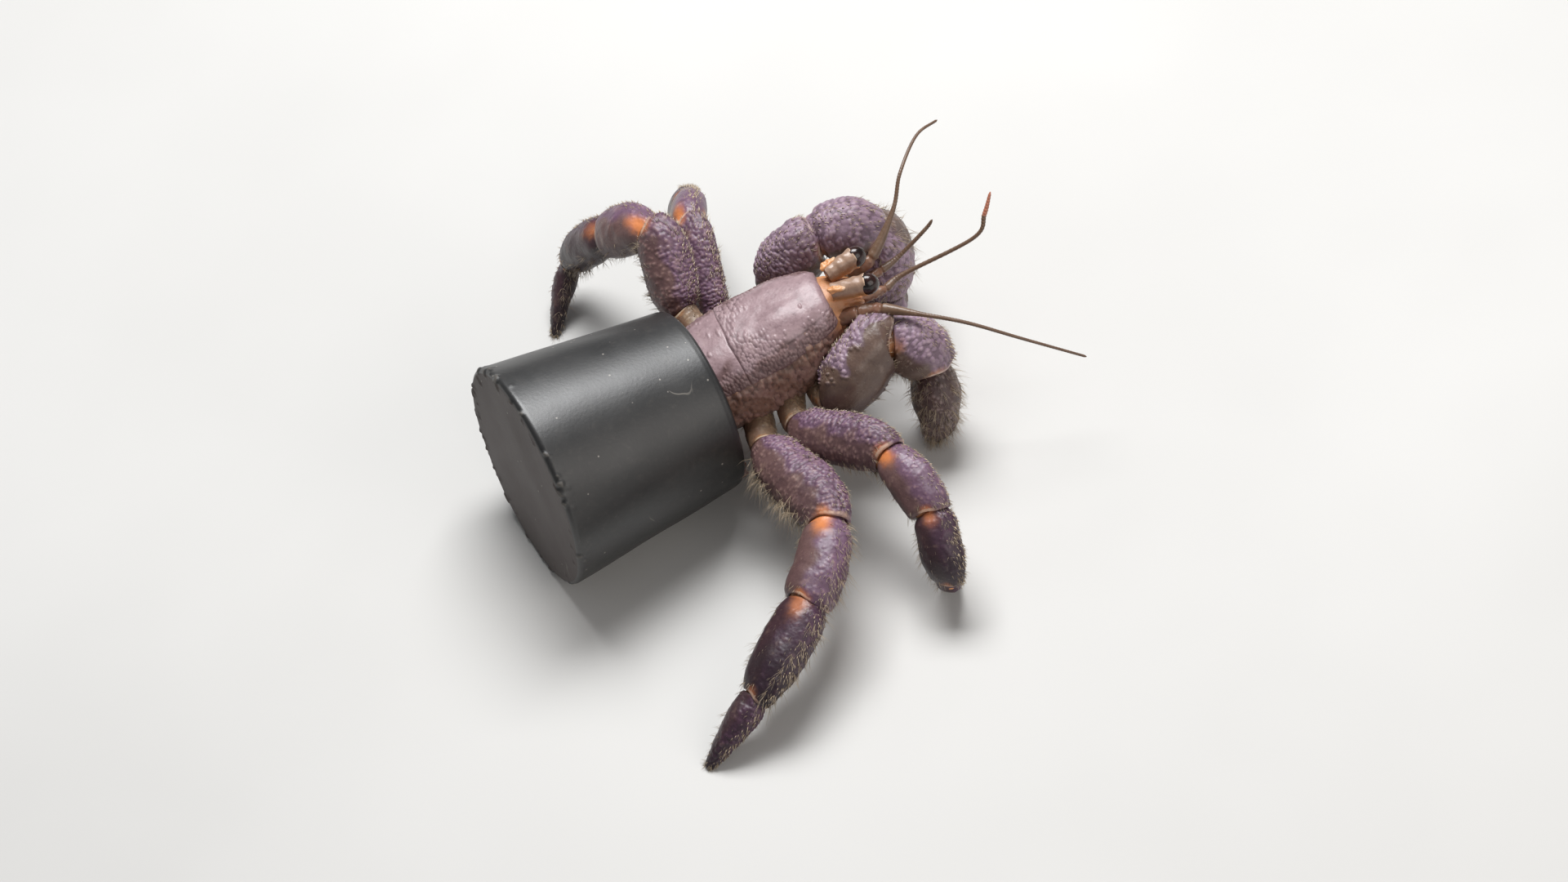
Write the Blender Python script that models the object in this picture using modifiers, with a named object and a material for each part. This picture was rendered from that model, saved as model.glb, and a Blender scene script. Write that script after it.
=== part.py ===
"""A land hermit crab at life size, walking with a tapered round cap on its back in place of a snail shell.

Every plate of the crab is a loft along a slightly bowed line between two joints. Neighbouring plates meet in the
plane that halves the joint's angle, with a small gap, and the feet end in small flats on the floor. Sizes are in
millimetres, with +X along the crab's heading, +Y to its left and the floor at z = 0. The origin is the point of
the cap's rest flat that lies under the middle of its closed end.
"""

import math

import bmesh
import bpy
import numpy as np
from mathutils import Matrix, Vector

MM = 0.001
GAP = 0.34  # free space between neighbouring plates
ARM_GAP = 0.64  # the same at the sharp bends of the claw arms
BEND = 0.75  # how far a plate's line takes up the direction of its joints
FINGER_ROOT = 0.59  # where along the hand the moving finger sits
FINGER_OFFSET = 3.2  # how far its root lies to the inner side of the hand's line
FOOT_OVERRUN = 0.6  # a foot runs on below the floor, which then trims it flat
CLAW_OVERRUN = 0.4  # the same for the claws' tips

# The cap: a cup whose closed end is the wider one. It lies on its lowest side line.
CAP_CLOSED_RADIUS = 16.0
CAP_OPEN_RADIUS = 12.9
CAP_LENGTH = 27.0
CAP_WALL = 1.3
CAP_EDGE = 0.8
CAP_YAW = math.radians(15.6)
CAP_REST_DEPTH = 0.12  # how deep the floor trims the cap's side, which gives the flat that it rests on
CAP_DIP = math.asin((CAP_CLOSED_RADIUS - CAP_OPEN_RADIUS) / CAP_LENGTH)
CAP_HEIGHT = CAP_CLOSED_RADIUS * math.cos(CAP_DIP) - CAP_REST_DEPTH  # of the closed end's middle

# The body: a rounded block from inside the cap to the head, parted into shield, rear carapace and thorax
BODY_BACK = (20.8, 6.4, 14.0)
BODY_FRONT = (47.0, 9.9, 18.7)
SHIELD_BACK_X = 32.6
SHIELD_EDGE_BACK = (28.0, 18.2)  # x and z of the line where the shield's side edge lies
SHIELD_EDGE_FRONT = (47.0, 21.4)

# How wide each kind of plate is along its length: distance above, below and to the side of its line
PLATES = {
    "base": dict(at=(0, 0.5, 1), top=(2.1, 2.2, 2.1), bottom=(2.1, 2.2, 2.0), side=(2.0, 2.1, 1.9)),
    "merus": dict(
        at=(0, 0.2, 0.5, 0.8, 1),
        top=(2.1, 3.2, 3.8, 4.1, 3.3),
        bottom=(2.0, 3.1, 3.5, 3.2, 2.5),
        side=(1.9, 2.7, 3.0, 2.9, 2.4),
    ),
    "carpus": dict(
        at=(0, 0.25, 0.6, 0.9, 1),
        top=(2.4, 3.4, 4.0, 3.6, 3.0),
        bottom=(2.3, 3.0, 3.4, 3.2, 2.6),
        side=(2.1, 2.7, 2.9, 2.8, 2.4),
    ),
    "propodus": dict(
        at=(0, 0.2, 0.6, 0.9, 1),
        top=(2.5, 3.4, 3.4, 2.6, 1.9),
        bottom=(2.2, 2.9, 3.0, 2.3, 1.7),
        side=(2.0, 2.6, 2.6, 2.0, 1.6),
    ),
    "dactyl": dict(
        at=(0, 0.2, 0.6, 0.9, 1),
        top=(1.6, 2.0, 1.5, 0.8, 0.5),
        bottom=(1.5, 1.8, 1.3, 0.7, 0.4),
        side=(1.4, 1.6, 1.2, 0.7, 0.5),
    ),
    "arm_base": dict(at=(0, 0.5, 1), top=(2.2, 2.3, 2.2), bottom=(2.2, 2.3, 2.2), side=(2.0, 2.1, 2.0)),
    "arm_merus": dict(
        at=(0, 0.2, 0.55, 0.85, 1),
        top=(2.6, 3.9, 5.0, 5.1, 4.2),
        bottom=(2.6, 4.4, 5.2, 4.6, 3.6),
        side=(2.3, 3.5, 4.0, 3.9, 3.2),
    ),
    "arm_carpus": dict(
        at=(0, 0.3, 0.7, 1),
        top=(3.7, 4.9, 5.0, 3.6),
        bottom=(3.1, 3.6, 3.5, 3.0),
        side=(2.9, 3.9, 4.1, 3.2),
    ),
    # the hand and its fixed finger: the upper side drops away where the moving finger sits
    "palm": dict(
        at=(0, 0.14, 0.32, 0.48, 0.53, 0.56, 0.75, 0.92, 1),
        top=(2.9, 4.9, 6.2, 6.2, 4.6, 0.2, -0.4, -0.3, -0.2),
        bottom=(2.9, 4.8, 6.3, 6.5, 6.3, 6.1, 4.6, 2.4, 1.5),
        side=(2.9, 3.9, 4.4, 4.2, 4.0, 3.7, 2.8, 1.4, 0.8),
    ),
    "finger": dict(
        at=(0, 0.15, 0.5, 0.85, 1),
        top=(2.3, 3.0, 3.0, 1.7, 0.9),
        bottom=(2.2, 2.6, 2.2, 1.0, 0.5),
        side=(2.6, 3.1, 2.6, 1.4, 0.8),
    ),
}

# Joints of each walking leg, from inside the body to the floor, with the direction that its upper edge faces.
# grow widens single plates, from base to dactyl, where a leg is broader than the others.
LEGS = {
    "leg2_right": dict(
        joints=[
            (37.9, 6.0, 12.4), (37.4, -1.9, 12.4), (47.5, -14.2, 14.8), (50.7, -23.4, 12.6),
            (50.3, -29.7, 6.2), (51.2, -24.6, 0),
        ],
        faces=(0.6, 0.2, 0.8),
        size=0.95,
    ),
    "leg3_right": dict(
        joints=[
            (32.9, 6.0, 10.9), (32.3, -3.3, 11.4), (37.0, -20.2, 12.4), (31.6, -30.1, 10.2),
            (21.7, -39.4, 6.0), (12.9, -43.8, 0),
        ],
        faces=(0.85, 0.0, 0.55),
        size=1.0,
        grow=(1, 1.06, 1.14, 1.2, 1.25),
    ),
    "leg2_left": dict(
        joints=[
            (34.8, 13.0, 11.0), (31.0, 21.4, 10.8), (31.0, 33.8, 16.8), (31.4, 41.6, 12.2),
            (30.4, 46.6, 6.2), (28.6, 44.4, 0),
        ],
        faces=(0.3, 0.5, 0.8),
        size=0.86,
    ),
    "leg3_left": dict(
        joints=[
            (30.2, 13.0, 11.8), (26.8, 20.9, 14.6), (25.6, 30.8, 20.9), (19.9, 37.2, 16.0),
            (13.4, 43.0, 6.4), (8.4, 36.9, 0),
        ],
        faces=(0.45, 0.45, 0.8),
        size=0.98,
    ),
}

# The claw arms, of which the left one is the larger: joints from inside the body to the wrist and the claw's tip
ARMS = {
    "claw_right": dict(
        joints=[
            (42.2, 6.6, 13.0), (42.5, 0.2, 13.4), (52.3, 3.2, 17.2), (56.5, 0.8, 13.0),
            (54.6, -1.0, -0.1),
        ],
        faces=(-0.2, -0.45, 0.9),
        inner=(0, 1, 0),
        size=0.98,
        hand=0.74,
    ),
    "claw_left": dict(
        joints=[
            (41.0, 12.0, 14.2), (39.4, 20.2, 14.8), (46.9, 22.8, 19.4), (53.9, 22.0, 18.6),
            (53.0, 25.2, -0.1),
        ],
        faces=(-0.2, 0.45, 0.9),
        inner=(0, -1, 0),
        size=1.0,
        hand=1.0,
    ),
}

# Feelers: points along each, the radius at both ends of the stout foot, and the radius of the thin part
FEELERS = {
    "antenna_right": dict(
        points=[
            (46.9, 6.5, 20.8), (49.6, 5.6, 21.8), (52.6, 4.8, 22.2), (57.6, 1.9, 22.0),
            (63.1, -0.5, 20.4), (69.4, -3.1, 17.2), (77.2, -5.3, 12.2),
        ],
        radii=(1.15, 1.1, 0.85, 0.48, 0.4, 0.34, 0.28),
    ),
    "antenna_left": dict(
        points=[
            (46.9, 13.2, 20.6), (49.8, 13.7, 21.2), (53.4, 13.9, 22.4), (58.1, 17.9, 26.0),
            (60.4, 21.3, 28.8), (64.1, 26.7, 29.2), (67.6, 29.5, 28.0),
        ],
        radii=(1.15, 1.1, 0.8, 0.48, 0.4, 0.34, 0.28),
    ),
    "antennule_right": dict(
        points=[
            (46.9, 8.9, 21.6), (50.6, 9.0, 20.6), (54.0, 10.2, 19.8), (57.0, 11.2, 20.4),
            (67.3, 10.6, 24.0), (69.6, 12.0, 26.4), (71.2, 13.6, 28.6),
        ],
        radii=(0.8, 0.75, 0.6, 0.5, 0.42, 0.5, 0.28),
    ),
    "antennule_left": dict(
        points=[
            (46.9, 10.9, 21.6), (50.8, 11.9, 20.6), (54.2, 13.2, 20.2), (57.2, 14.2, 20.8),
            (61.6, 15.2, 23.4), (62.8, 15.4, 24.6),
        ],
        radii=(0.8, 0.75, 0.6, 0.48, 0.42, 0.3),
    ),
}

# Jaw feet and the small hind feet, which hold the cap's mouth: joints and radii of one bent limb each
SMALL_LIMBS = {
    "maxilliped_right": dict(
        points=[(45.2, 8.6, 16.0), (48.7, 8.6, 15.6), (50.4, 8.7, 12.2), (49.8, 8.9, 8.2)],
        radii=(1.2, 1.2, 1.1, 0.6),
    ),
    "maxilliped_left": dict(
        points=[(45.2, 11.4, 16.0), (48.7, 11.4, 15.6), (50.4, 11.3, 12.2), (49.8, 11.1, 8.2)],
        radii=(1.2, 1.2, 1.1, 0.6),
    ),
    "leg4_right": dict(
        points=[(28.0, 6.0, 9.6), (27.6, 2.0, 6.4), (28.0, -0.4, 4.8), (29.0, -1.2, 4.4)],
        radii=(1.3, 1.3, 1.2, 0.7),
    ),
    "leg4_left": dict(
        points=[(27.6, 11.0, 9.6), (26.8, 14.4, 7.2), (27.2, 16.0, 6.2), (28.6, 16.6, 5.8)],
        radii=(1.3, 1.3, 1.2, 0.7),
    ),
}

EYES = {
    "right": dict(root=(46.9, 8.2, 24.4), tip=(51.6, 7.5, 24.8)),
    "left": dict(root=(46.9, 11.4, 24.4), tip=(51.1, 12.7, 24.8)),
}

COLOURS = {
    "cap": ((0.018, 0.019, 0.020), 0.38),
    "shell": ((0.30, 0.20, 0.26), 0.5),
    "limb": ((0.20, 0.12, 0.18), 0.55),
    "hand": ((0.24, 0.14, 0.18), 0.55),
    "soft": ((0.52, 0.30, 0.20), 0.5),
    "feeler": ((0.22, 0.12, 0.06), 0.5),
    "cornea": ((0.01, 0.009, 0.009), 0.12),
}


def unit(v):
    v = np.asarray(v, float)
    return v / np.linalg.norm(v)


def ease(at, values, t):
    """Values between the knots on a smooth curve that never runs past them."""
    at, values, t = (np.asarray(a, float) for a in (at, values, t))
    step = np.diff(at)
    rise = np.diff(values) / step
    slope = np.concatenate(([rise[0]], np.zeros(len(rise) - 1), [rise[-1]]))
    for i in range(1, len(rise)):
        if rise[i - 1] * rise[i] > 0:
            slope[i] = 2 / (1 / rise[i - 1] + 1 / rise[i])
    i = np.clip(np.searchsorted(at, t, side="right") - 1, 0, len(step) - 1)
    s = (t - at[i]) / step[i]
    return (
        values[i] * (1 + 2 * s) * (1 - s) ** 2
        + values[i + 1] * s * s * (3 - 2 * s)
        + step[i] * (slope[i] * s * (1 - s) ** 2 - slope[i + 1] * s * s * (1 - s))
    )


def principled(name, colour, roughness):
    material = bpy.data.materials.new(name)
    material.use_nodes = True
    shader = material.node_tree.nodes["Principled BSDF"]
    shader.inputs["Base Color"].default_value = (*colour, 1)
    shader.inputs["Roughness"].default_value = roughness
    shader.inputs["Metallic"].default_value = 0
    return material


def new_object(name, mesh, collection, look):
    obj = bpy.data.objects.new(name, mesh)
    collection.objects.link(obj)
    mesh.materials.append(principled(name, *COLOURS[look]))
    return obj


def line_between(p0, p1, d0, d1, t):
    """Points and directions of the bowed line from p0 to p1 that leaves along d0 and arrives along d1."""
    p0, p1 = np.asarray(p0, float), np.asarray(p1, float)
    reach = np.linalg.norm(p1 - p0) * BEND
    a, b = d0 * reach, d1 * reach
    t = t[:, None]
    points = (
        p0 * (1 + 2 * t) * (1 - t) ** 2
        + p1 * t * t * (3 - 2 * t)
        + a * t * (1 - t) ** 2
        - b * t * t * (1 - t)
    )
    along = 6 * t * (1 - t) * (p1 - p0) + a * (1 - t) * (1 - 3 * t) + b * t * (3 * t - 2)
    return points, along / np.linalg.norm(along, axis=1)[:, None]


def rings_along(points, along, faces, top, bottom, side, around, square=2.3):
    """Closed superellipse rings square to the line, with their upper edge towards faces."""
    faces = np.broadcast_to(np.asarray(faces, float), along.shape)
    up = faces - (along * faces).sum(axis=1)[:, None] * along
    up /= np.linalg.norm(up, axis=1)[:, None]
    across = np.cross(along, up)
    turn = np.linspace(0, 2 * math.pi, around, endpoint=False)
    cos = np.sign(np.cos(turn)) * np.abs(np.cos(turn)) ** (2 / square)
    sin = np.sign(np.sin(turn)) * np.abs(np.sin(turn)) ** (2 / square)
    middle, half = (top - bottom) / 2, (top + bottom) / 2
    return (
        points[:, None]
        + across[:, None] * (side[:, None] * cos)[..., None]
        + up[:, None] * (middle[:, None] + half[:, None] * sin)[..., None]
    )


def skin_rings(rings):
    """One closed body through the rings, with flat ends."""
    bm = bmesh.new()
    loops = [[bm.verts.new(Vector(p * MM)) for p in ring] for ring in rings]
    for low, high in zip(loops, loops[1:]):
        for i in range(len(low)):
            j = (i + 1) % len(low)
            bm.faces.new((low[i], low[j], high[j], high[i]))
    bm.faces.new(loops[0][::-1])
    bm.faces.new(loops[-1])
    bmesh.ops.recalc_face_normals(bm, faces=bm.faces)
    return bm


def keep_side(bm, point, normal):
    """Cuts the body with a plane, keeps the side that the normal points to, and closes the cut."""
    cut = bmesh.ops.bisect_plane(
        bm,
        geom=bm.verts[:] + bm.edges[:] + bm.faces[:],
        dist=1e-7,
        plane_co=Vector(point) * MM,
        plane_no=Vector(normal),
        clear_inner=True,
    )
    edges = [e for e in cut["geom_cut"] if isinstance(e, bmesh.types.BMEdge) and e.is_boundary]
    if edges:
        bmesh.ops.holes_fill(bm, edges=edges)
        bmesh.ops.recalc_face_normals(bm, faces=bm.faces)


def finish(bm, name, collection, look):
    mesh = bpy.data.meshes.new(name)
    bm.to_mesh(mesh)
    bm.free()
    mesh.shade_smooth()
    mesh.set_sharp_from_angle(angle=math.radians(40))
    return new_object(name, mesh, collection, look)


def plate(kind, p0, p1, d0, d1, faces, size, around=12, along=7, start=GAP / 2, end=GAP / 2):
    """One plate of a limb as a closed body, from joint p0 to joint p1."""
    widths = PLATES[kind]
    t = np.linspace(0, 1, along)
    if kind == "palm":
        t = np.asarray(widths["at"], float)
    points, tangents = line_between(p0 + d0 * start, p1 - d1 * end, d0, d1, t)
    if np.ndim(faces) == 2:
        faces = faces[0] * (1 - t[:, None]) + faces[1] * t[:, None]
    top, bottom, side = (ease(widths["at"], widths[k], t) * size for k in ("top", "bottom", "side"))
    return skin_rings(rings_along(points, tangents, faces, top, bottom, side, around))


def joint_directions(joints):
    """The direction of travel at each joint: half-way between the plates that meet there."""
    runs = [unit(b - a) for a, b in zip(joints, joints[1:])]
    return [runs[0]] + [unit(a + b) for a, b in zip(runs, runs[1:])] + [runs[-1]]


def carried(faces, directions):
    """The upper edge's direction at each joint, turned along with the limb so that it never twists."""
    ups = [np.asarray(faces, float)]
    for a, b in zip(directions, directions[1:]):
        ups.append(np.array(Vector(a).rotation_difference(Vector(b)) @ Vector(ups[-1])))
    return ups


def walking_leg(name, collection, cutter, joints, faces, size, grow=(1, 1, 1, 1, 1)):
    joints = [np.asarray(j, float) for j in joints]
    directions = joint_directions(joints)
    ups = carried(faces, directions)
    for i, kind in enumerate(("base", "merus", "carpus", "propodus", "dactyl")):
        last = kind == "dactyl"
        end = -FOOT_OVERRUN if last else GAP / 2
        bm = plate(
            kind, joints[i], joints[i + 1], directions[i], directions[i + 1], ups[i : i + 2], size * grow[i], end=end
        )
        if last:
            keep_side(bm, (0, 0, 0), (0, 0, 1))
        obj = finish(bm, f"{name}_{kind}", collection, "limb")
        if kind == "base":
            cut_clear(obj, cutter)


def claw_arm(name, collection, cutter, joints, faces, inner, size, hand):
    joints = [np.asarray(j, float) for j in joints]
    directions = joint_directions(joints)
    ups = carried(faces, directions)
    for i, kind in enumerate(("arm_base", "arm_merus", "arm_carpus")):
        ends = dict(start=ARM_GAP / 2, end=ARM_GAP / 2)
        bm = plate(
            kind, joints[i], joints[i + 1], directions[i], directions[i + 1], ups[i : i + 2], size, around=14, **ends
        )
        if kind != "arm_base":
            keep_side(bm, joints[i] + directions[i] * (GAP / 2), directions[i])
            keep_side(bm, joints[i + 1] - directions[i + 1] * (GAP / 2), -directions[i + 1])
        obj = finish(bm, f"{name}_{kind[4:]}", collection, "hand")
        if kind != "arm_carpus":
            cut_clear(obj, cutter)
    wrist, tip = joints[3], joints[4]
    down = unit(tip - wrist)
    ends = dict(start=ARM_GAP / 2, end=-CLAW_OVERRUN)
    palm = plate("palm", wrist, tip, directions[3], down, inner, hand, around=14, **ends)
    keep_side(palm, (0, 0, 0), (0, 0, 1))
    keep_side(palm, wrist + directions[3] * (GAP / 2), directions[3])
    finish(palm, f"{name}_palm", collection, "hand")
    side = unit(np.asarray(inner, float) - (np.asarray(inner, float) @ down) * down)
    middle = line_between(wrist, tip, directions[3], down, np.array([FINGER_ROOT]))[0][0]
    root = middle + side * FINGER_OFFSET * hand
    end = tip - down * 0.9 + side * 0.6 * hand
    lean = unit(end - root)
    finger = plate("finger", root, end, unit(down + 0.2 * side), unit(lean - 0.3 * side), inner, hand)
    keep_side(finger, (0, 0, 0), (0, 0, 1))
    finish(finger, f"{name}_finger", collection, "hand")


def smooth_path(points, radii, steps):
    """A Catmull-Rom curve through the points, with the radius eased along it."""
    points = np.asarray(points, float)
    padded = np.vstack([2 * points[0] - points[1], points, 2 * points[-1] - points[-2]])
    place = np.linspace(0, len(points) - 1, (len(points) - 1) * steps + 1)
    i = np.minimum(place.astype(int), len(points) - 2)
    s = (place - i)[:, None]
    a, b, c, d = (padded[i + k] for k in range(4))
    path = 0.5 * (2 * b + (c - a) * s + (2 * a - 5 * b + 4 * c - d) * s**2 + (3 * b - a - 3 * c + d) * s**3)
    along = np.gradient(path, axis=0)
    return path, along / np.linalg.norm(along, axis=1)[:, None], ease(range(len(radii)), radii, place)


def round_limb(name, collection, look, points, radii, steps, around, cutter):
    path, along, radius = smooth_path(points, radii, steps)
    bm = skin_rings(rings_along(path, along, (0.15, 0.1, 1), radius, radius, radius, around, square=2.0))
    cut_clear(finish(bm, name, collection, look), cutter)


def body_block(margin=0.0):
    """The whole body as one rounded block, grown by a margin where it is used to cut its neighbours free."""
    back, front = np.array(BODY_BACK), np.array(BODY_FRONT)
    run = unit(front - back)
    at = (0, 0.2, 0.45, 0.7, 0.88, 0.96, 1)
    t = np.append(np.linspace(0, 0.9, 9), (0.96, 1))
    points, along = line_between(back - run * margin, front + run * margin, run, run, t)
    top = ease(at, (6.0, 7.1, 7.7, 7.7, 7.2, 6.7, 5.7), t) + margin
    bottom = ease(at, (5.4, 6.6, 7.0, 7.2, 6.5, 5.6, 4.4), t) + margin
    side = ease(at, (5.7, 7.1, 7.8, 7.6, 6.5, 5.5, 4.2), t) + margin
    return skin_rings(rings_along(points, along, (0, 0, 1), top, bottom, side, 20, square=2.5))


def shield_edge_plane(offset):
    """Point and upward normal of the sloping plane along the shield's side edges."""
    (x0, z0), (x1, z1) = SHIELD_EDGE_BACK, SHIELD_EDGE_FRONT
    normal = unit((-(z1 - z0), 0, x1 - x0))
    return np.array((x0, 0, z0)) + normal * offset, normal


def make_body(collection):
    point, up = shield_edge_plane(GAP / 2)
    below, _ = shield_edge_plane(-GAP / 2)
    shield = body_block()
    keep_side(shield, point, up)
    keep_side(shield, (SHIELD_BACK_X + GAP / 2, 0, 0), (1, 0, 0))
    finish(shield, "shield", collection, "shell")
    rear = body_block()
    keep_side(rear, point, up)
    keep_side(rear, (SHIELD_BACK_X - GAP / 2, 0, 0), (-1, 0, 0))
    finish(rear, "carapace_rear", collection, "shell")
    thorax = body_block()
    keep_side(thorax, below, -up)
    finish(thorax, "thorax", collection, "soft")


def turned(name, outline, collection, look, steps):
    """A turned solid: its half outline, from the axis round the outside and back, swept by a Screw modifier."""
    mesh = bpy.data.meshes.new(name)
    mesh.from_pydata([(r * MM, 0, z * MM) for r, z in outline], [(i, i + 1) for i in range(len(outline) - 1)], [])
    obj = new_object(name, mesh, collection, look)
    screw = obj.modifiers.new("turn", "SCREW")
    screw.axis = "Z"
    screw.steps = screw.render_steps = steps
    screw.use_merge_vertices = True
    screw.merge_threshold = 0.00001
    lean = Matrix.Rotation(CAP_YAW, 4, "Z") @ Matrix.Rotation(math.pi / 2 + CAP_DIP, 4, "Y")
    obj.matrix_world = Matrix.Translation((0, 0, CAP_HEIGHT * MM)) @ lean
    return obj


def cap_radius(s):
    """Outer radius of the cap at distance s from its closed end."""
    return CAP_CLOSED_RADIUS - (CAP_CLOSED_RADIUS - CAP_OPEN_RADIUS) * s / CAP_LENGTH


def make_cap(collection, cutters):
    rim = CAP_WALL / 2
    quarter = np.linspace(0, math.pi / 2, 4)
    inner = cap_radius(CAP_WALL) - CAP_WALL
    outline = [(0, CAP_WALL), (inner - CAP_EDGE, CAP_WALL), (inner, CAP_WALL + CAP_EDGE)]
    middle = cap_radius(CAP_LENGTH) - rim
    outline += [(middle - rim * math.cos(a), CAP_LENGTH - rim + rim * math.sin(a)) for a in quarter]
    outline += [(middle + rim * math.sin(a), CAP_LENGTH - rim + rim * math.cos(a)) for a in quarter[1:]]
    corner = cap_radius(CAP_EDGE) - CAP_EDGE
    outline += [(corner + CAP_EDGE * math.cos(a), CAP_EDGE - CAP_EDGE * math.sin(a)) for a in quarter]
    outline += [(0, 0)]
    cap = turned("cap", outline, collection, "cap", 48)
    bpy.ops.mesh.primitive_cube_add(size=1, location=(0.012, 0.004, -0.005))
    floor = bpy.context.object
    floor.name = "floor_cutter"
    floor.scale = (0.08, 0.08, 0.01)
    for old in floor.users_collection:
        old.objects.unlink(floor)
    cutters.objects.link(floor)
    hide_cutter(floor)
    trim = cap.modifiers.new("rest flat", "BOOLEAN")
    trim.operation = "DIFFERENCE"
    trim.object = floor


def make_abdomen(collection):
    """The soft hind body, which fills the cap up to a little inside its mouth."""
    free = CAP_WALL + 0.45
    start, end = CAP_WALL + 0.4, 17.6
    shoulder, corner = end - 6.0, start + 2.2
    outline = [(0, end), (7.5, end - 0.6), (10.6, end - 2.6), (cap_radius(shoulder) - free, shoulder)]
    outline += [(cap_radius(corner) - free, corner), (cap_radius(start) - free - 2.0, start), (0, start)]
    turned("abdomen", outline, collection, "soft", 32)


def hide_cutter(obj):
    obj.hide_render = True
    obj.display_type = "WIRE"


def cut_clear(obj, cutter):
    cut = obj.modifiers.new("clear of the body", "BOOLEAN")
    cut.operation = "DIFFERENCE"
    cut.object = cutter


def make_eye(name, root, tip, collection, cutter):
    """A stalk with flat sides, and the dark cornea on its end."""
    root, tip = np.asarray(root, float), np.asarray(tip, float)
    run = unit(tip - root)
    t = np.linspace(0, 1, 6)
    points, along = line_between(root, tip, run, run, t)
    height = ease((0, 0.5, 1), (1.3, 1.45, 1.6), t)
    width = ease((0, 0.5, 1), (1.1, 1.2, 1.3), t)
    up = (0, 0, 1)
    stalk = skin_rings(rings_along(points, along, up, height, height, width, 10))
    cut_clear(finish(stalk, f"eyestalk_{name}", collection, "limb"), cutter)
    dome = np.sin(np.linspace(0.0, 0.47, 5) * math.pi)
    shrink = np.sqrt(1 - dome**2)
    points = tip + run * (GAP + 1.5 * dome[:, None])
    along = np.repeat(run[None], len(points), axis=0)
    rings = rings_along(points, along, up, 1.5 * shrink, 1.5 * shrink, 1.28 * shrink, 10, square=2.0)
    finish(skin_rings(rings), f"cornea_{name}", collection, "cornea")


def main():
    for obj in list(bpy.data.objects):
        bpy.data.objects.remove(obj, do_unlink=True)
    crab = bpy.data.collections.new("hermit_crab")
    cutters = bpy.data.collections.new("cutters")
    for collection in (crab, cutters):
        bpy.context.scene.collection.children.link(collection)

    clearance = finish(body_block(GAP), "body_clearance", cutters, "soft")
    hide_cutter(clearance)
    make_cap(crab, cutters)
    make_abdomen(crab)
    make_body(crab)
    for name, leg in LEGS.items():
        walking_leg(name, crab, clearance, **leg)
    for name, arm in ARMS.items():
        claw_arm(name, crab, clearance, **arm)
    for name, eye in EYES.items():
        make_eye(name, eye["root"], eye["tip"], crab, clearance)
    for name, feeler in FEELERS.items():
        round_limb(name, crab, "feeler", **feeler, steps=2, around=7, cutter=clearance)
    for name, limb in SMALL_LIMBS.items():
        round_limb(name, crab, "limb", **limb, steps=3, around=9, cutter=clearance)


main()
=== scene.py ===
import math

import bpy
import numpy as np
from mathutils import Matrix, Vector


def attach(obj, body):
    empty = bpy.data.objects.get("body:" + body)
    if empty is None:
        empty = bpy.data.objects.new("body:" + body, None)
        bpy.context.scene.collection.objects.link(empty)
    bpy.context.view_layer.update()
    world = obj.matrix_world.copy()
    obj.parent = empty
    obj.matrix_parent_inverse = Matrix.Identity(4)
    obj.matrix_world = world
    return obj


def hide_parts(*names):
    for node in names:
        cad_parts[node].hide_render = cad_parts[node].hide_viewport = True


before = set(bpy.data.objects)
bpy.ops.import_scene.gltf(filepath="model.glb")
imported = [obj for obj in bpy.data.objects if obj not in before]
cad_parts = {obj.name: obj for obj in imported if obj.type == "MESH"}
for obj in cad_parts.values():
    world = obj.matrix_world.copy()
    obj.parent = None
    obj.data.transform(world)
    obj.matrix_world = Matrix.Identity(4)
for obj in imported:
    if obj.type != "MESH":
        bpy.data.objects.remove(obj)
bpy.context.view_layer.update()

mm = 0.001
gap = 0.34  # free space between neighbouring plates of the frame
bend = 0.75  # how far a plate's line takes up the direction of its joints
fine = 1.0


def unit(v):
    # each vector divided by its own length
    v = np.asarray(v, float)
    return v / np.linalg.norm(v, axis=-1, keepdims=True)


def ease(at, values, t):
    # monotone cubic between the knots: never runs past them
    at, values, t = (np.asarray(a, float) for a in (at, values, t))
    step = np.diff(at)
    rise = np.diff(values) / step
    both = rise[:-1] * rise[1:] > 0
    a, b = np.where(both, rise[:-1], 1), np.where(both, rise[1:], 1)
    slope = np.concatenate(([rise[0]], np.where(both, 2 * a * b / (a + b), 0), [rise[-1]]))
    i = np.clip(np.searchsorted(at, t, side="right") - 1, 0, len(step) - 1)
    s = (t - at[i]) / step[i]
    return (values[i] * (1 + 2 * s) * (1 - s) ** 2 + values[i + 1] * s * s * (3 - 2 * s)
            + step[i] * (slope[i] * s * (1 - s) ** 2 - slope[i + 1] * s * s * (1 - s)))


def smooth(low, high, x):
    # 0 below low, 1 above high, an S curve between
    s = np.clip((x - low) / (high - low), 0, 1)
    return s * s * (3 - 2 * s)


def ripple(points, size, seed, waves=14):
    # a soft random field of about -1..1: the sum of plane waves in random directions, about size mm long
    rng = np.random.default_rng(seed)
    way = unit(rng.normal(size=(waves, 3))) * (2 * math.pi / size) * rng.uniform(0.6, 1.5, (waves, 1))
    shift = rng.uniform(0, 2 * math.pi, waves)
    return np.sin(points @ way.T + shift).sum(axis=-1) / math.sqrt(waves / 2) / 1.6


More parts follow.
